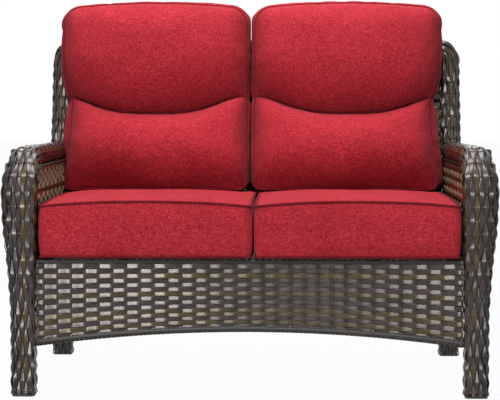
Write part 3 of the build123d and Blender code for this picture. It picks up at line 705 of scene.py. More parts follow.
def woven(name, panel, rows, stakes, row_tint, lift=row_lift, steps=steps_per_wave):
    """Weaves rows (index, u from, u to, height and width functions) over stakes (u, v from, v to)."""
    weave = Weave()
    for index, start, end, height, width in rows:
        if end - start < shortest_row:
            continue
        count = max(4, ceil((end - start) / stake_pitch * steps))
        u = np.linspace(start, end, count + 1)
        v = height(u)
        out = lift * straightened(np.cos(pi * (u / stake_pitch + index)))
        slope = np.gradient(v, u)[:, None]
        tangent = unit(panel.along + slope * panel.up + np.gradient(out, u)[:, None] * panel.out)
        across = unit(panel.up - slope * panel.along)
        across, normal = turned(across, unit(np.cross(tangent, across)), row_tilt)
        point = panel.at(u, v + swayed(u, index, row_sway), out)
        weave.strip(point, across, normal, width(u), row_thickness, row_tint(index))
    for u, start, end in stakes:
        count = max(2, ceil((end - start) / stake_step))
        point = panel.at(u, np.linspace(start, end, count + 1), 0)
        across, normal = (np.broadcast_to(way, point.shape) for way in (panel.along, panel.out))
        tint = mauve if rng.random() < mauve_stake_share else umber
        weave.strip(point, across, normal, stake_width, stake_thickness, tint)
    return weave.build(name)


def stake_places(low, high):
    """Places of the stakes between two ends."""
    return [k * stake_pitch for k in range(ceil(low / stake_pitch), int(high // stake_pitch) + 1)]


def arched_rows(top, low, count, arch, power, ends):
    """Rows that bend from a panel's level top to its arched hem, squeezed together as it rises."""
    rows = []
    for index in range(count):
        share = (index + 0.5) / count
        level = top - (top - low) * share

        def height(u, level=level, share=share):
            return level + arch(u) * share**power

        def width(u, share=share):
            squeeze = arch(u) * power * share ** (power - 1) / count
            return ((top - low) / count - squeeze) * row_width_share

        rows.append((index, *ends(level), height, width))
    return rows


def level_rows(half, first, last, width):
    """Straight rows of one width, spread from the first place up a panel to the last."""
    count = round(abs(last - first) / row_pitch)
    places = (first + (last - first) * (index + 0.5) / count for index in range(count))
    return [
        (index, -half, half, lambda u, v=v: np.full_like(u, v), lambda u: width)
        for index, v in enumerate(places)
    ]


def drawn_from(choices):
    """Gives each row a tint drawn from a few."""
    return lambda index: rng.choice(choices)


rope_steps = 10
rope_fit = 0.98
rope_thickness = 2.2 * row_thickness


def rope(name, line, radius, pitch, strands):
    """Strips twisted round a line of points: the binding along a hem or an edge."""
    weave = Weave()
    reach = path_reach(line)
    count = ceil(reach[-1] / pitch * rope_steps)
    s = np.linspace(0, reach[-1], count + 1)
    centre = path_points(line, reach, s)
    tangent = unit(np.gradient(centre, axis=0))
    side = unit(np.cross(tangent, (0.0, 0.6, 0.8)))
    rise = np.cross(side, tangent)
    width = pitch / len(strands) * cos(atan2(2 * pi * radius, pitch)) * rope_fit
    for strand, tint in enumerate(strands):
        angle = (2 * pi * s / pitch + 2 * pi * strand / len(strands))[:, None]
        normal = side * np.cos(angle) + rise * np.sin(angle)
        way = unit(tangent * pitch + np.cross(tangent, normal) * 2 * pi * radius)
        weave.strip(centre + normal * radius, np.cross(normal, way), normal, width, rope_thickness, tint)
    return weave.build(name)


# Aprons

# Tints of an apron's rows from the top down
apron_row_tints = (
    mauve, umber, olive, umber, mauve, mauve, olive, umber,
    mauve, mauve, olive, olive, mauve, olive, umber,
)
hem_height = 0.137
hem_rise = 0.038
hem_power = 1.4
hem_drop = 0.008
hem_band = 0.012
hem_band_lift = 0.0034
hem_radius = 0.0028
hem_strands = (slate, umber, slate)
field_overlap = 0.6 * hem_band
stake_overlap = 0.3 * hem_band
stake_top_gap = 0.001
band_height = 0.009
band_lift = 0.0026
front_apron_gap = 0.001
rear_apron_lap = 0.002
panel_thickness = 0.007
back_setback = 0.004
rear_setback = 0.001


def hem_arch(u, half):
    """How far the hem rises at u."""
    return hem_rise * (1 - (u / half) ** 2)


def apron_field(name, panel, half, top, low):
    """The rows and stakes of an apron, between its bands."""
    field_low = low - hem_drop + field_overlap
    foot = field_low - stake_overlap

    def arch(u):
        return hem_arch(u, half)

    rows = arched_rows(
        top - band_height, field_low, len(apron_row_tints), arch, hem_power, lambda level: (-half, half)
    )
    stakes = [(u, foot + arch(u), top - stake_top_gap) for u in stake_places(-half, half)]
    return woven(name, panel, rows, stakes, lambda index: apron_row_tints[index])


def band(name, panel, u, v, width, lift):
    """Two flat binding strips along a line of (u, v) points, one on each side of the panel."""
    weave = Weave()
    across = unit(panel.up - np.gradient(v, u)[:, None] * panel.along)
    for sign in (1, -1):
        point = panel.at(u, v, sign * lift)
        normal = np.broadcast_to(sign * panel.out, point.shape)
        weave.strip(point, across, normal, width, row_thickness, slate)
    return weave.build(name)


def apron(name, panel, half, top, low):
    """A woven apron with the flat band along its top and the twist round its hem."""
    to_frame(apron_field(f"{name}_field", panel, half, top, low), f"{name}_weave")
    u = np.linspace(-half, half, 90)
    middle = np.full_like(u, top - band_height / 2)
    edge = low - hem_drop + hem_arch(u, half)
    to_frame(band(f"{name}_band", panel, u, middle, band_height, band_lift))
    to_frame(band(f"{name}_binding", panel, u, edge + hem_band / 2, hem_band, hem_band_lift))
    line = panel.at(u, edge + hem_radius / 2, 0)
    to_frame(rope(f"{name}_hem", line, hem_radius, stake_pitch, hem_strands))


def front_apron():
    """The apron below the seat."""
    panel = Panel((0, (apron_low.y + apron_high.y) / 2, 0), (1, 0, 0), (0, 0, 1))
    apron("front_apron", panel, bay_half - front_apron_gap, apron_high.z, hem_height)


def rear_apron():
    """The apron between the rear legs, in their slanted plane."""
    offset = post_depth / 2 - rear_setback - panel_thickness / 2
    origin = (0, foot_y + offset * cos(splay), offset * sin(splay))
    panel = Panel(origin, (1, 0, 0), (0, -sin(splay), cos(splay)))
    apron("rear_apron", panel, bay_half + rear_apron_lap, rail_top / cos(splay), hem_height / cos(splay))


# Side panels

side_hem_rise = 0.024
side_hem_power = 5.0
side_hem_pitch = 2 * stake_pitch
# How far the rows run into the leg and the post
outer_tuck = 0.002
inner_tuck = 0.004
arm_rope_radius = 0.0024
arm_rope_pitch = 0.030
arm_rope_lift = 0.0012


def side_front(z):
    """Y of the front leg's rear face, or of the arm bend's inner face, at height z."""
    over = np.clip(z - bend_z, 0, inner_bend)
    return float(arm_front_y - np.sqrt(inner_bend**2 - over**2))


def side_rear(z):
    """Y of the front face of the rear leg or the back post at height z."""
    if z < knee_z:
        return foot_y - z * tan(splay) - post_depth / 2 / cos(splay)
    return knee_y + (z - knee_z) * tan(lean) - post_depth / 2 / cos(lean)


def side_arch(u, low, rise):
    """How far a side panel's hem rises at u."""
    rear = side_rear(low)
    middle, half = (leg_y + rear) / 2, (rear - leg_y) / 2
    return rise * np.clip(1 - ((u - middle) / half) ** 2, 0, 1)


def side_stakes(low, rise, top, tuck):
    """Stakes between the leg and the post, cut where the arm's bend and the rear leg are."""
    stakes = []
    knee_face = side_rear(knee_z)
    for u in stake_places(leg_rear_y, side_rear(top)):
        foot = low + float(side_arch(u, low, rise))
        high = top
        if u < arm_front_y:
            high = min(top, bend_z + max(inner_bend**2 - (arm_front_y - u) ** 2, 0) ** 0.5 + tuck)
        if u < knee_face:
            stakes.append((u, foot, high))
            continue
        above = knee_z + (u - knee_face) / tan(lean) - tuck
        below = knee_z - (u - knee_face) / tan(splay) + tuck
        if high > above:
            stakes.append((u, max(above, low), high))
        if below > low:
            stakes.append((u, foot, below))
    return stakes


def side_panel(place, side, x, low, rise, tuck, choices):
    """A side panel: level rows between leg and post, bending to the hem where it is arched."""
    panel = Panel((x, 0, 0), (0, 1, 0), (0, 0, 1))
    top = arm_under_z + tuck

    def arch(u):
        return side_arch(u, low, rise)

    def ends(z):
        return side_front(z) - tuck, side_rear(z) + tuck

    rows = arched_rows(top, low, round((top - low) / row_pitch), arch, side_hem_power, ends)
    stakes = side_stakes(low, rise, top, tuck)
    piece = woven(f"side_panel_{place}_{side}", panel, rows, stakes, drawn_from(choices))
    to_frame(piece, f"side_weave_{place}_{side}")
    return panel


def arm_binding(name, x):
    """A twist along the corner between the inner panel and the arm's sleeve."""
    start = np.linspace(deck_top, bend_z, 20)
    turn = np.linspace(0, pi / 2, 24)[1:]
    run = np.linspace(arm_front_y, side_rear(arm_z), 30)[1:]
    y = np.concatenate([np.full_like(start, leg_rear_y), arm_front_y - inner_bend * np.cos(turn), run])
    z = np.concatenate([start, bend_z + inner_bend * np.sin(turn), np.full_like(run, arm_under_z)])
    return rope(name, vectors(x, y, z), arm_rope_radius, arm_rope_pitch, (umber, slate, umber))


def side_panels():
    """Outer and inner side panels, their hems and the binding under the arm's roll."""
    outer_x = (outer_low.x + outer_high.x) / 2
    inner_x = (inner_low.x + inner_high.x) / 2
    for side, sign in (("right", 1), ("left", -1)):
        panel = side_panel(
            "outer", side, sign * outer_x, hem_height, side_hem_rise, outer_tuck, mixed_tints
        )
        u = np.linspace(leg_rear_y, side_rear(hem_height), 60)
        line = panel.at(u, hem_height + side_arch(u, hem_height, side_hem_rise), 0)
        to_frame(rope(f"side_hem_{side}", line, hem_radius, side_hem_pitch, hem_strands))
        side_panel("inner", side, sign * inner_x, inner_low.z, 0.0, inner_tuck, pale_tints)
        to_frame(arm_binding(f"arm_binding_{side}", sign * (bay_half + arm_rope_lift)))


# Back panel and seat deck

back_row_width = 0.0136
back_lap = 0.0015
back_top_lap = 0.002
deck_row_width = 0.0134
deck_row_lift = 0.0012
deck_steps = 4


def back_panel():
    """The woven panel inside the back's border, in the leaning plane."""
    offset = post_depth / 2 - back_setback - panel_thickness / 2
    origin = (0, knee_y - offset * cos(lean), knee_z + offset * sin(lean))
    panel = Panel(origin, (1, 0, 0), (0, sin(lean), cos(lean)))
    low = (deck_top - origin[2]) / cos(lean)
    high = (top_z - knee_z) / cos(lean) - post_width / 2 + back_top_lap
    half = bay_half + back_lap
    rows = level_rows(half, high, low, back_row_width)
    stakes = [(u, low, high) for u in stake_places(-half, half)]
    piece = woven("back_panel_field", panel, rows, stakes, drawn_from(mixed_tints))
    to_frame(piece, "back_panel_weave")


def seat_deck():
    """The woven deck under the seat cushions."""
    panel = Panel((0, 0, (deck_low.z + deck_high.z) / 2), (1, 0, 0), (0, 1, 0))
    rows = level_rows(bay_half, deck_low.y, deck_high.y, deck_row_width)
    stakes = [(u, deck_low.y, deck_high.y) for u in stake_places(-bay_half, bay_half)]
    tint = drawn_from(mixed_tints)
    piece = woven("seat_deck_field", panel, rows, stakes, tint, deck_row_lift, deck_steps)
    to_frame(piece, "seat_deck_weave")


# Covers of all cushions

rest_gap = 0.0004
lying_gap = 0.0003
piping_radius = 0.0032
piping_sides = 10
fill_growth = 0.012
fill_pressure = 4.0
fill_limit = 0.007
fill_frames = 20
cloth_settings = {
    "quality": 4,
    "mass": 0.25,
    "tension_stiffness": 12,
    "compression_stiffness": 6,
    "shear_stiffness": 4,
    "bending_stiffness": 0.4,
    "use_pressure": True,
    "uniform_pressure_force": fill_pressure,
    "shrink_min": -fill_growth,
    "vertex_group_mass": "seams",
    "pin_stiffness": 1.0,
}


def coons(bottom, top, left, right, rise=None):
    """Grid of points between four edge curves: rows run from bottom to top."""
    across = np.linspace(0, 1, len(bottom))[None, :, None]
    upward = (np.linspace(0, 1, len(left)) if rise is None else rise)[:, None, None]
    ruled = (1 - upward) * bottom[None] + upward * top[None]
    sides = (1 - across) * left[:, None] + across * right[:, None]
    low = (1 - across) * bottom[0] + across * bottom[-1]
    high = (1 - across) * top[0] + across * top[-1]
    return ruled + sides - (1 - upward) * low - upward * high


def border_loop(rows, columns):
    """(row, column) pairs round the border of a grid."""
    loop = [(0, j) for j in range(columns)]
    loop += [(i, columns - 1) for i in range(1, rows)]
    loop += [(rows - 1, j) for j in range(columns - 2, -1, -1)]
    loop += [(i, 0) for i in range(rows - 2, 0, -1)]
    return loop


def boxed_cushion(name, face, back, bulge, cells, seams=()):
    """A closed cushion cover: a face, a back and a bulging boxing between their borders."""
    rows, columns = face.shape[:2]
    size = rows * columns
    loop = border_loop(rows, columns)
    face_loop, back_loop = (np.array([grid[i, j] for i, j in loop]) for grid in (face, back))
    tangent = np.roll(face_loop, -1, axis=0) - np.roll(face_loop, 1, axis=0)
    outward = unit(np.cross(tangent, back_loop - face_loop))
    if np.sum(outward * (face_loop - face_loop.mean(axis=0))) < 0:
        outward = -outward
    for _ in range(3):
        outward = unit(np.roll(outward, 1, axis=0) + 2 * outward + np.roll(outward, -1, axis=0))
    rings = []
    for share in np.arange(1, cells) / cells:
        push = bulge(loop, share)[:, None]
        rings.append(face_loop * (1 - share) + back_loop * share + outward * push)
    points = np.concatenate([face.reshape(-1, 3), back.reshape(-1, 3), *rings])
    quads = []
    for i in range(rows - 1):
        for j in range(columns - 1):
            a, b = i * columns + j, i * columns + j + 1
            c, d = b + columns, a + columns
            quads.append((a, b, c, d))
            quads.append((size + d, size + c, size + b, size + a))
    count = len(loop)
    chains = [[i * columns + j for i, j in loop]]
    chains += [[2 * size + ring * count + k for k in range(count)] for ring in range(cells - 1)]
    chains.append([size + i * columns + j for i, j in loop])
    for upper, lower in zip(chains[:-1], chains[1:]):
        for k in range(count):
            following = (k + 1) % count
            quads.append((upper[following], upper[k], lower[k], lower[following]))
    piece = mesh_piece(name, points, np.array(quads), fabric)
    pinned = {*chains[0], *chains[-1], *(seam * columns + j for seam in seams for j in range(columns))}
    piece.vertex_groups.new(name="seams").add(sorted(pinned), 1.0, "REPLACE")
    return piece, chains[0], chains[-1], outward


def inflate(piece):
    """Fills a cover by a cloth simulation with its seams held, and keeps the result."""
    start = read_points(piece.data)
    cloth = piece.modifiers.new("filling", "CLOTH")
    for key, value in cloth_settings.items():
        setattr(cloth.settings, key, value)
    cloth.settings.effector_weights.gravity = 0.0
    cloth.collision_settings.use_collision = False
    cloth.point_cache.frame_start = 1
    cloth.point_cache.frame_end = 30
    scene = bpy.context.scene
    for number in range(1, fill_frames + 1):
        scene.frame_set(number)
    depsgraph = bpy.context.evaluated_depsgraph_get()
    move = read_points(piece.evaluated_get(depsgraph).data) - start
    piece.modifiers.remove(cloth)
    scene.frame_set(1)
    length = np.linalg.norm(move, axis=1, keepdims=True)
    move *= fill_limit * np.tanh(length / fill_limit) / np.maximum(length, 1e-9)
    move_points(piece.data, start + move)


def dress(piece, body, settle_points, crease, painted_shade, nodes):
    """Fills a cover, adds its soft creases, lays it against its neighbours and sets it on its body in
    place of its nodes.
    """
    inflate(piece)
    points = read_points(piece.data)
    normals = read_points(piece.data, "normal")
    free = np.array([0.0 if len(vertex.groups) else 1.0 for vertex in piece.data.vertices])
    points += normals * (crease(points) * free)[:, None]
    settle_points(points)
    move_points(piece.data, points)
    # Each point's painted shade, stored under the name seam
    point_values(piece.data, "seam", painted_shade(points))
    piece.vertex_groups.clear()
    smooth = piece.modifiers.new("smooth", "SUBSURF")
    smooth.levels = 1
    smooth.render_levels = 1
    settle(piece, body, "cushion_fabric", *nodes)


def piping(name, piece, chain, outward, offset, body):
    """A covered cord along a seam, where its points ended up."""
    seam = np.array([piece.data.vertices[i].co for i in chain])
    centre = seam + outward * offset
    tangent = unit(np.roll(centre, -1, axis=0) - np.roll(centre, 1, axis=0))
    side = unit(np.cross(tangent, outward))
    lift = np.cross(side, tangent)
    angles = (np.arange(piping_sides) * 2 * pi / piping_sides)[None, :, None]
    round_way = lift[:, None] * np.cos(angles) + side[:, None] * np.sin(angles)
    ring = centre[:, None] + piping_radius * round_way
    quads = tube_quads(len(centre), piping_sides, closed=True)
    # The piping wears the red painted darker, as painted shade
    settle(mesh_piece(name, ring.reshape(-1, 3), quads, painted_shade_piping_fabric), body, "cushion_fabric")


def wander(points, scale, seed):
    """Smooth noise at points, from -1 to 1, with a cell size in metres."""
    shift = Vector((seed * 7.3, seed * 3.1, seed * 5.7))
    return np.array([noise.noise(Vector(point) / scale + shift) for point in points])


def ripples(points, sizes, seed):
    """The soft unevenness of a filled cover: noise of a few heights and cell sizes."""
    return sum(height * wander(points, cell, seed + k) for k, (height, cell) in enumerate(sizes))


def domed(share, power, root):
    """Full in the middle of a width from -1 to 1, and closed at both ends."""
    return (1 - np.abs(share).clip(0, 1) ** power) ** root


# Seat cushions

seat_thickness = 0.145
seam_inset = 0.0052
seat_seam_drop = 0.0035
seat_low_seam = 0.0085
seat_crown = 0.0112
seat_rear_crown = 0.0032
seat_front_crown = 0.0070
seat_front_drop = 0.0006
seat_corner_drop = 0.0055
seat_corner = 0.013
seat_split_shift = 0.010
seat_side_draw = 0.0015
seat_front_bulge = 0.0062
seat_rear_bulge = 0.0030
seat_side_bulge = 0.0050
seat_front_room = 0.002
seat_rear_inset = 0.0046
seat_rear_gap = 0.0006
under_back_y = 0.055
seat_columns, seat_rows, seat_cells = 65, 71, 14
seat_piping_offset = 0.0012
seat_ripples = ((0.0016, 0.085), (0.0007, 0.030))
firm_front_share = 0.4
firm_front_reach = 0.05

# Power and root of the seat's crown from side to side and from front to rear
seat_dome_across = (3.0, 0.6)
seat_dome_along = (3.4, 0.6)

# Where the seat's forms start to fade towards the rear, and over what distance
crown_fade = (-0.02, 0.10)
corner_fade = (-0.36, 0.25)
front_fade = (-0.37, 0.20)


def corner_edge(start, end, corner, inward, count):
    """Points from the middle of one rounded corner to the middle of the next, along a straight side."""
    start, end, inward = (np.array(value, float) for value in (start, end, inward))
    way = (end - start) / np.linalg.norm(end - start)
    angles = np.linspace(pi / 4, 0, 9)
    centre = start + (way + inward) * corner
    first = [centre - inward * corner * cos(a) - way * corner * sin(a) for a in angles]
    centre = end + (inward - way) * corner
    last = [centre - inward * corner * cos(a) + way * corner * sin(a) for a in angles[::-1]]
    path = np.array(first + last)
    reach = path_reach(path)
    return path_points(path, reach, np.linspace(0, reach[-1], count))


def seat_cushion(side, x_low, x_high, seed):
    """A boxed seat cushion, crowned where one sits and flat below and under the back cushion."""
    low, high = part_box(f"seat_cushion_cover_{side}")
    body = f"seat_cushion_{side}"
    rear_top = deck_top + lying_gap + seat_thickness
    front_y, rear_y = low.y + seat_front_bulge, high.y - seat_rear_inset
    left, right = x_low + seam_inset, x_high - seam_inset
    edges = [
        corner_edge((left, front_y), (right, front_y), seat_corner, (0, 1), seat_columns),
        corner_edge((left, rear_y), (right, rear_y), seat_corner, (0, -1), seat_columns),
        corner_edge((left, front_y), (left, rear_y), seat_corner, (1, 0), seat_rows),
        corner_edge((right, front_y), (right, rear_y), seat_corner, (-1, 0), seat_rows),
    ]
    draw = seat_side_draw * (1 - np.linspace(-1, 1, seat_rows) ** 2)
    edges[2][:, 0] += draw
    edges[3][:, 0] -= draw
    x, y = np.moveaxis(coons(*edges), -1, 0)
    s = (x - (left + right) / 2) / ((right - left) / 2)
    t = (y - (front_y + rear_y) / 2) / ((rear_y - front_y) / 2)
    dome = domed(s, *seat_dome_across) * domed(t, *seat_dome_along)
    crown = seat_crown + (seat_rear_crown - seat_crown) * smooth_step(y, *crown_fade)
    corner_drop = seat_corner_drop * np.abs(s) ** 3 * (1 - smooth_step(y, *corner_fade))
    front_rise = seat_front_crown * domed(s, 2, 1) - seat_front_drop
    seam_z = rear_top - seat_seam_drop - corner_drop + front_rise * (1 - smooth_step(y, *front_fade))
    top = seam_z + dome * crown
    bottom = low.z + seat_low_seam - (seat_low_seam - rest_gap) * dome**0.5

    def bulge(loop, share):
        ends = {0: seat_front_bulge, seat_rows - 1: seat_rear_bulge}
        return sin(pi * share) ** 0.7 * np.array([ends.get(i, seat_side_bulge) for i, _ in loop])

    piece, top_chain, low_chain, outward = boxed_cushion(
        f"seat_pad_{side}", vectors(x, y, top), vectors(x, y, bottom), bulge, seat_cells
    )

    def settle_points(points):
        points[:, 0] = points[:, 0].clip(x_low + rest_gap, x_high - rest_gap)
        points[:, 1] = points[:, 1].clip(low.y - seat_front_room, high.y - seat_rear_gap)
        ceiling = np.where(points[:, 1] > under_back_y, rear_top - rest_gap / 2, 1.0)
        points[:, 2] = np.minimum(points[:, 2], ceiling).clip(low.z + rest_gap / 2, None)

    def crease(points):
        near_front = np.exp(-(((points[:, 1] - low.y) / firm_front_reach) ** 2))
        return ripples(points, seat_ripples, seed) * (1 - firm_front_share * near_front)

    # The seat cushions get no painted shade
    def painted_shade(points):
        return np.zeros(len(points))

    nodes = (f"seat_cushion_cover_{side}", f"seat_cushion_foam_{side}")
    dress(piece, body, settle_points, crease, painted_shade, nodes)
    piping(f"seat_piping_top_{side}", piece, top_chain, outward, seat_piping_offset, body)
    piping(f"seat_piping_low_{side}", piece, low_chain, outward, seat_piping_offset, body)


# Back cushions

back_rise = 0.530
waist_up = 0.207
waist_rise = 0.056
crease_end = waist_up + waist_rise
lumbar_seam = 0.096
waist_seam = 0.066
head_seam = 0.088
lumbar_swell = 0.070
head_swell = 0.064
lumbar_seam_bow = 0.006
waist_seam_bow = 0.010
head_seam_bow = 0.006
top_peak = 0.017
face_top = back_rise - 0.015
rear_top_up = back_rise - 0.020
face_foot_z = 0.0065
rear_foot = 0.004
foot_corner = 0.016
head_corner = 0.046
corner_share = 1 - cos(pi / 4)
arc_rows = 8
heel_height = 0.060
heel_inset = 0.008
front_inset = 0.0115
rear_inset = 0.0060
outer_waist_inset = 0.027
outer_foot_inset = 0.004
outer_head_inset = 0.002
inner_waist_inset = 0.004
outer_boxing_inset = 0.012
outer_waist_run = 0.24
outer_head_run = 0.045
inner_waist_run = 0.02
head_seam_run = 0.12
back_bulge = 0.0095
back_top_bulge = 0.0085
back_foot_bulge = 0.003
back_gap = 0.0006
rear_rim = 0.0036
loose_shift = -0.012
back_columns, lumbar_rows, head_rows, back_cells = 67, 31, 37, 15
back_piping_offset = 0.0006
back_ripples = ((0.0018, 0.090), (0.0008, 0.035))
fold_height, fold_cell, fold_reach = 0.0034, 0.030, 0.075
pucker_height, pucker_cell, pucker_reach = 0.0014, 0.011, 0.018
gathering = (1.0, 0.18, 0.18)

# Shares of the way up each roll at its rows of points, closer together beside the crease
lumbar_way = 1 - (1 - np.linspace(0, 1, lumbar_rows)) ** 1.35
head_way = np.linspace(0, 1, head_rows) ** 1.25

# How each roll swells: powers and root on the way up, power and root from side to side
lumbar_roll, lumbar_across = (3.2, 1.0, 10), (5, 0.65)
head_roll, head_across = (2.6, 0.7, 11), (4, 0.70)

# Where a form starts, and over what distance or how many rows of points it comes or goes
boxing_fade = (0.052, 0.26)
boxing_row_fade = (lumbar_rows - 14, 12)
top_bulge_rise = (lumbar_rows + head_rows - 11, 9)
crease_front = (0.05, 0.03)
shade_front = (0.045, 0.02)

# Painted shade on the cover: darker beside the crease, along the rims and low on each roll
shade_above_crease = 0.009
shade_below_crease = 0.0035
rim_shade = 0.38
rim_shade_width = 0.030
under_shade = 0.46
under_shade_height = 0.070


class BackShape:
    """The back cushion's own frame: x from its middle, distance forward of the back and up along it."""

    def __init__(self, side):
        low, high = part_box(f"back_cushion_cover_{side}")
        self.sign = 1 if side == "right" else -1
        self.middle = (low.x + high.x) / 2 + loose_shift
        self.half = (high.x - low.x) / 2
        self.low_z = low.z
        self.rest_y = knee_y + (low.z - knee_z) * tan(lean) - (post_depth / 2 + lying_gap) / cos(lean)

    def world(self, x, forward, up):
        """Points in the row frame."""
        y = self.rest_y - forward * cos(lean) + up * sin(lean)
        z = self.low_z + forward * sin(lean) + up * cos(lean)
        return vectors(self.middle + self.sign * x, y, z)

    def local(self, points):
        """x, forward and up of points in the row frame."""
        y, z = points[:, 1] - self.rest_y, points[:, 2] - self.low_z
        x = (points[:, 0] - self.middle) * self.sign
        return x, -y * cos(lean) + z * sin(lean), y * sin(lean) + z * cos(lean)

    def crease_up(self, x):
        """Height of the scalloped crease at x."""
        share = np.abs(x / self.half).clip(0, 1)
        return waist_up + waist_rise * (1 - np.cos(pi * share**1.6)) / 2

    def outer_x(self, up):
        """Where the outer side runs, drawn in at the waist."""
        narrowing = smooth_step(up, 0, outer_waist_run)
        lumbar = outer_foot_inset + (outer_waist_inset - outer_foot_inset) * narrowing
        widening = np.exp(-np.maximum(up - crease_end, 0) / outer_head_run)
        head = outer_head_inset + (outer_waist_inset - outer_head_inset) * widening
        return self.half - np.where(up < crease_end, lumbar, head)

    def inner_x(self, up):
        """Where the inner side runs, nipped a little at the waist."""
        return -self.half + inner_waist_inset * np.exp(-(((up - crease_end) / inner_waist_run) ** 2))


def seam_depth(up):
    """How far forward the front seam runs along the sides."""
    lumbar = lumbar_seam + (waist_seam - lumbar_seam) * smooth_step(up, 0, crease_end) ** 1.5
    head = waist_seam + (head_seam - waist_seam) * smooth_step(up, crease_end, head_seam_run)
    return np.where(up < crease_end, lumbar, head)


def roll_profile(way, start_power, start_root, end_power):
    """How full a roll is on its way up: it swells from its foot and closes at its end."""
    return (1 - (1 - way) ** start_power) ** start_root * (1 - way**end_power) ** 0.5


def back_outline(shape, inset, foot, top):
    """Edges (x, up) of the lower and upper fields inside the cushion's outline."""
    cut = foot_corner * corner_share
    low_up = foot + cut + (crease_end - foot - cut) * lumbar_way
    bend = cut * np.clip(1 - (low_up - low_up[0]) / foot_corner, 0, 1) ** 2
    boxing = outer_boxing_inset * (1 - smooth_step(low_up, *boxing_fade))
    low_left = shape.inner_x(low_up) + inset + bend
    low_right = shape.outer_x(low_up) - inset - bend - boxing
    side_end = top - head_corner
    arc = np.linspace(0, pi / 4, arc_rows)[1:]
    straight = head_way[: -arc_rows + 1] / head_way[-arc_rows]
    high_up = np.concatenate([
        crease_end + (side_end - crease_end) * straight, side_end + head_corner * np.sin(arc)
    ])
    fold = np.concatenate([np.zeros(len(straight)), head_corner * (1 - np.cos(arc))])
    high_left = shape.inner_x(high_up) + inset + fold
    high_right = shape.outer_x(high_up) - inset - fold
    bottom_x = np.linspace(low_left[0], low_right[0], back_columns)
    away = np.minimum(bottom_x - low_left[0], low_right[0] - bottom_x)
    bottom_up = foot + cut * np.clip(1 - away / foot_corner, 0, 1) ** 2
    top_x = np.linspace(high_left[-1], high_right[-1], back_columns)
    run = np.minimum(top_x + shape.half - inset, shape.half - inset - top_x)
    over = np.maximum(head_corner - run, 0)
    fall = head_corner - np.sqrt(np.maximum(head_corner**2 - over**2, 0))
    top_up = top + top_peak * (1 - (top_x / shape.half) ** 2) - fall
    low_sides = (low_left, low_right, low_up)
    high_sides = (high_left, high_right, high_up)
    return (bottom_x, bottom_up), (top_x, top_up), low_sides, high_sides


def back_face(shape):
    """Grid (x, forward, up) of the front: the lumbar roll, the crease and the head roll."""
    foot = (face_foot_z - lumbar_seam * sin(lean)) / cos(lean)
    bottom, crown, low_sides, high_sides = back_outline(shape, front_inset, foot, face_top)
    s = np.linspace(-1, 1, back_columns)
    bow = 1 - s**2
    low_up, high_up = low_sides[2], high_sides[2]
    low_left, low_right = (vectors(x, seam_depth(low_up), low_up) for x in low_sides[:2])
    high_left, high_right = (vectors(x, seam_depth(high_up), high_up) for x in high_sides[:2])
    seam_x = np.linspace(low_left[-1, 0], low_right[-1, 0], back_columns)
    bottom = vectors(bottom[0], lumbar_seam + lumbar_seam_bow * bow, bottom[1])
    crease = vectors(seam_x, waist_seam + waist_seam_bow * bow, shape.crease_up(seam_x))
    crease[:, 2] += (low_up[-1] - crease[0, 2]) * s**8
    crown = vectors(crown[0], head_seam + head_seam_bow * bow, crown[1])
    bottom[0], bottom[-1] = low_left[0], low_right[0]
    crease[0], crease[-1] = low_left[-1], low_right[-1]
    crown[0], crown[-1] = high_left[-1], high_right[-1]
    lumbar = coons(bottom, crease, low_left, low_right, lumbar_way)
    head = coons(crease, crown, high_left, high_right, head_way)
    climb = (high_up - high_up[0]) / (high_up[-1] - high_up[0])
    lumbar_profile = roll_profile(lumbar_way, *lumbar_roll)[:, None]
    head_profile = roll_profile(climb, *head_roll)[:, None]
    lumbar[..., 1] += lumbar_swell * lumbar_profile * domed(s, *lumbar_across)
    head[..., 1] += head_swell * head_profile * domed(s, *head_across)
    return np.concatenate([lumbar, head[1:]])


def back_rear(shape):
    """Grid (x, forward, up) of the rear, flat against the back and slanted at the heel."""
    bottom, crown, low_sides, high_sides = back_outline(shape, rear_inset, rear_foot, rear_top_up)
    left, right, up = (np.concatenate([low, high[1:]]) for low, high in zip(low_sides, high_sides))
    rise = (up - up[0]) / (up[-1] - up[0])
    grid = coons(vectors(*bottom), vectors(*crown), vectors(left, up), vectors(right, up), rise)
    s = np.linspace(-1, 1, back_columns)[None]
    t = (2 * rise - 1)[:, None]
    rim = np.maximum(np.abs(s) ** 8, np.abs(t) ** 12)
    facet = heel_inset * np.clip(1 - grid[..., 1] / heel_height, 0, 1)
    return vectors(grid[..., 0], facet + back_gap + rear_rim * rim, grid[..., 1])


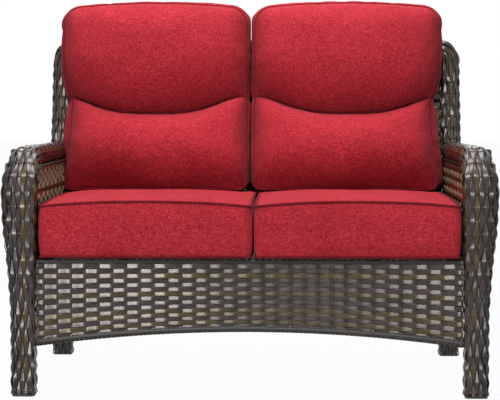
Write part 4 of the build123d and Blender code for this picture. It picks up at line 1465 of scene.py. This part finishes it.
def back_cushion(side, seed):
    """A boxed back cushion: a head roll over a lumbar roll with a scalloped crease between."""
    shape = BackShape(side)
    body = f"back_cushion_{side}"
    grids = [shape.world(*np.moveaxis(grid, -1, 0)) for grid in (back_face(shape), back_rear(shape))]
    if shape.sign < 0:
        grids = [grid[:, ::-1] for grid in grids]
    outer_column = back_columns - 1 if shape.sign > 0 else 0

    def bulge(loop, share):
        sizes = []
        for i, j in loop:
            size = back_bulge + back_top_bulge * smooth_step(i, *top_bulge_rise)
            if j == outer_column:
                size += outer_boxing_inset * (1 - smooth_step(i, *boxing_row_fade))
            sizes.append(back_foot_bulge if i == 0 else size)
        return np.array(sizes) * sin(pi * share) ** 0.5

    piece, face_chain, rear_chain, outward = boxed_cushion(
        f"back_pad_{side}", *grids, bulge, back_cells, seams=(lumbar_rows - 1,)
    )

    def settle_points(points):
        x, forward, up = shape.local(points)
        forward = np.maximum(forward, heel_inset * np.clip(1 - up / heel_height, 0, 1) + back_gap)
        x = np.clip(x, rest_gap - shape.half, shape.half - rest_gap)
        points[:] = shape.world(x, forward, up)
        points[:, 2] = np.maximum(points[:, 2], shape.low_z + rest_gap / 2)

    def crease(points):
        x, forward, up = shape.local(points)
        away = np.abs(up - shape.crease_up(x))
        gathered = points * gathering
        folds = fold_height * wander(gathered, fold_cell, seed + 2) * np.exp(-((up / fold_reach) ** 2))
        puckers = pucker_height * wander(gathered, pucker_cell, seed + 3) * np.exp(-away / pucker_reach)
        front = smooth_step(forward, *crease_front)
        return ripples(points, back_ripples, seed) + (folds + puckers) * front

    # Painted shade: darker beside the crease, along the rims and low on each roll
    def painted_shade(points):
        x, forward, up = shape.local(points)
        over = up - shape.crease_up(x)
        away = over / np.where(over > 0, shade_above_crease, shade_below_crease)
        rim = np.minimum(np.abs(x + shape.half), np.abs(shape.outer_x(up) - x)) / rim_shade_width
        under = np.where(over > 0, over, up) / under_shade_height
        soft = 1 - (1 - rim_shade * np.exp(-(rim**2))) * (1 - under_shade * np.exp(-(under**2)))
        return smooth_step(forward, *shade_front) * np.maximum(np.exp(-(away**2)), soft)

    nodes = (f"back_cushion_cover_{side}", f"back_lumbar_fill_{side}", f"back_head_fill_{side}")
    dress(piece, body, settle_points, crease, painted_shade, nodes)
    piping(f"back_piping_front_{side}", piece, face_chain, outward, back_piping_offset, body)
    piping(f"back_piping_rear_{side}", piece, rear_chain, outward, back_piping_offset, body)


# Stage, lamps and camera

floor_reach = 30.0
floor_glow = 0.97
floor_colour = (0.20, 0.20, 0.20, 1.0)
world_light = 0.05
lamp_aim = Vector((0, 0, 0.45))
# Name, place, width, height and power of each lamp: two strips beside the camera and three softboxes
lamps = (
    ("left_softbox", (-1.75, -3.1, 0.47), 0.55, 0.80, 36.0),
    ("right_softbox", (1.95, -3.0, 0.47), 0.45, 0.80, 20.0),
    ("front_softbox", (-0.4, -4.4, 6.0), 3.2, 2.0, 325.0),
    ("top_softbox", (0.0, 0.05, 3.3), 2.2, 1.4, 84.0),
    ("rear_softbox", (0.0, 2.7, 2.0), 1.6, 1.0, 26.0),
)
sensor_width = 36.0
focal_pixels = 1542.4
frame_pixels = 500
eye_place = (0.1055, -4.228, 0.7272)
eye_pitch = radians(90 - 3.41)
eye_turn = radians(1.532)


def stage():
    """A pale floor that keeps the shadow, and a white surround."""
    material, tree, shader = new_material("floor_paint", 0.6, 0.2, Base_Color=floor_colour)
    tree.bump(tree.noise(4.0), 0.05, 0.001, shader)
    glow = tree.add("ShaderNodeEmission", Strength=1.0)
    mix = tree.add("ShaderNodeMixShader")
    tree.link(tree.calculate("MULTIPLY", tree.seen_rays(), floor_glow), mix.inputs["Fac"])
    tree.link(shader.outputs["BSDF"], mix.inputs[1])
    tree.link(glow.outputs["Emission"], mix.inputs[2])
    tree.link(mix.outputs["Shader"], tree.nodes["Material Output"].inputs["Surface"])
    corners = floor_reach * np.array([(-1, -1, 0), (1, -1, 0), (1, 1, 0), (-1, 1, 0)])
    mesh_piece("floor_sheet", corners, np.array([(0, 1, 2, 3)]), material)

    world = bpy.data.worlds.new("surround")
    bpy.context.scene.world = world
    tree = NodeTree(world)
    strength = tree.add("ShaderNodeMapRange", To_Min=world_light, To_Max=1.0)
    tree.link(tree.seen_rays(), strength.inputs["Value"])
    background = tree.nodes["Background"]
    background.inputs["Color"].default_value = (1, 1, 1, 1)
    tree.link(strength.outputs["Result"], background.inputs["Strength"])


def light():
    """The lamps, each turned towards the seat."""
    for name, place, width, length, power in lamps:
        data = bpy.data.lights.new(name, "AREA")
        data.energy = power
        data.shape = "RECTANGLE"
        data.size = width
        data.size_y = length
        lamp = placed(name, data)
        lamp.location = place
        lamp.rotation_euler = (lamp_aim - Vector(place)).to_track_quat("-Z", "Y").to_euler()


def camera():
    """The camera at the photograph's viewing angle."""
    data = bpy.data.cameras.new("camera")
    data.sensor_width = sensor_width
    data.lens = sensor_width * focal_pixels / frame_pixels
    eye = placed("camera", data)
    eye.location = eye_place
    eye.rotation_euler = (eye_pitch, 0, eye_turn)
    bpy.context.scene.camera = eye
    bpy.context.scene.view_settings.view_transform = "Standard"


camera()
light()
stage()
build_limbs()
front_apron()
rear_apron()
side_panels()
back_panel()
seat_deck()
seat_low, seat_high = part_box("seat_cushion_cover_right")
seat_cushion("right", seat_low.x + seat_split_shift, seat_high.x, 1)
seat_cushion("left", -seat_high.x, seat_split_shift - seat_low.x, 5)
back_cushion("right", 9)
back_cushion("left", 13)
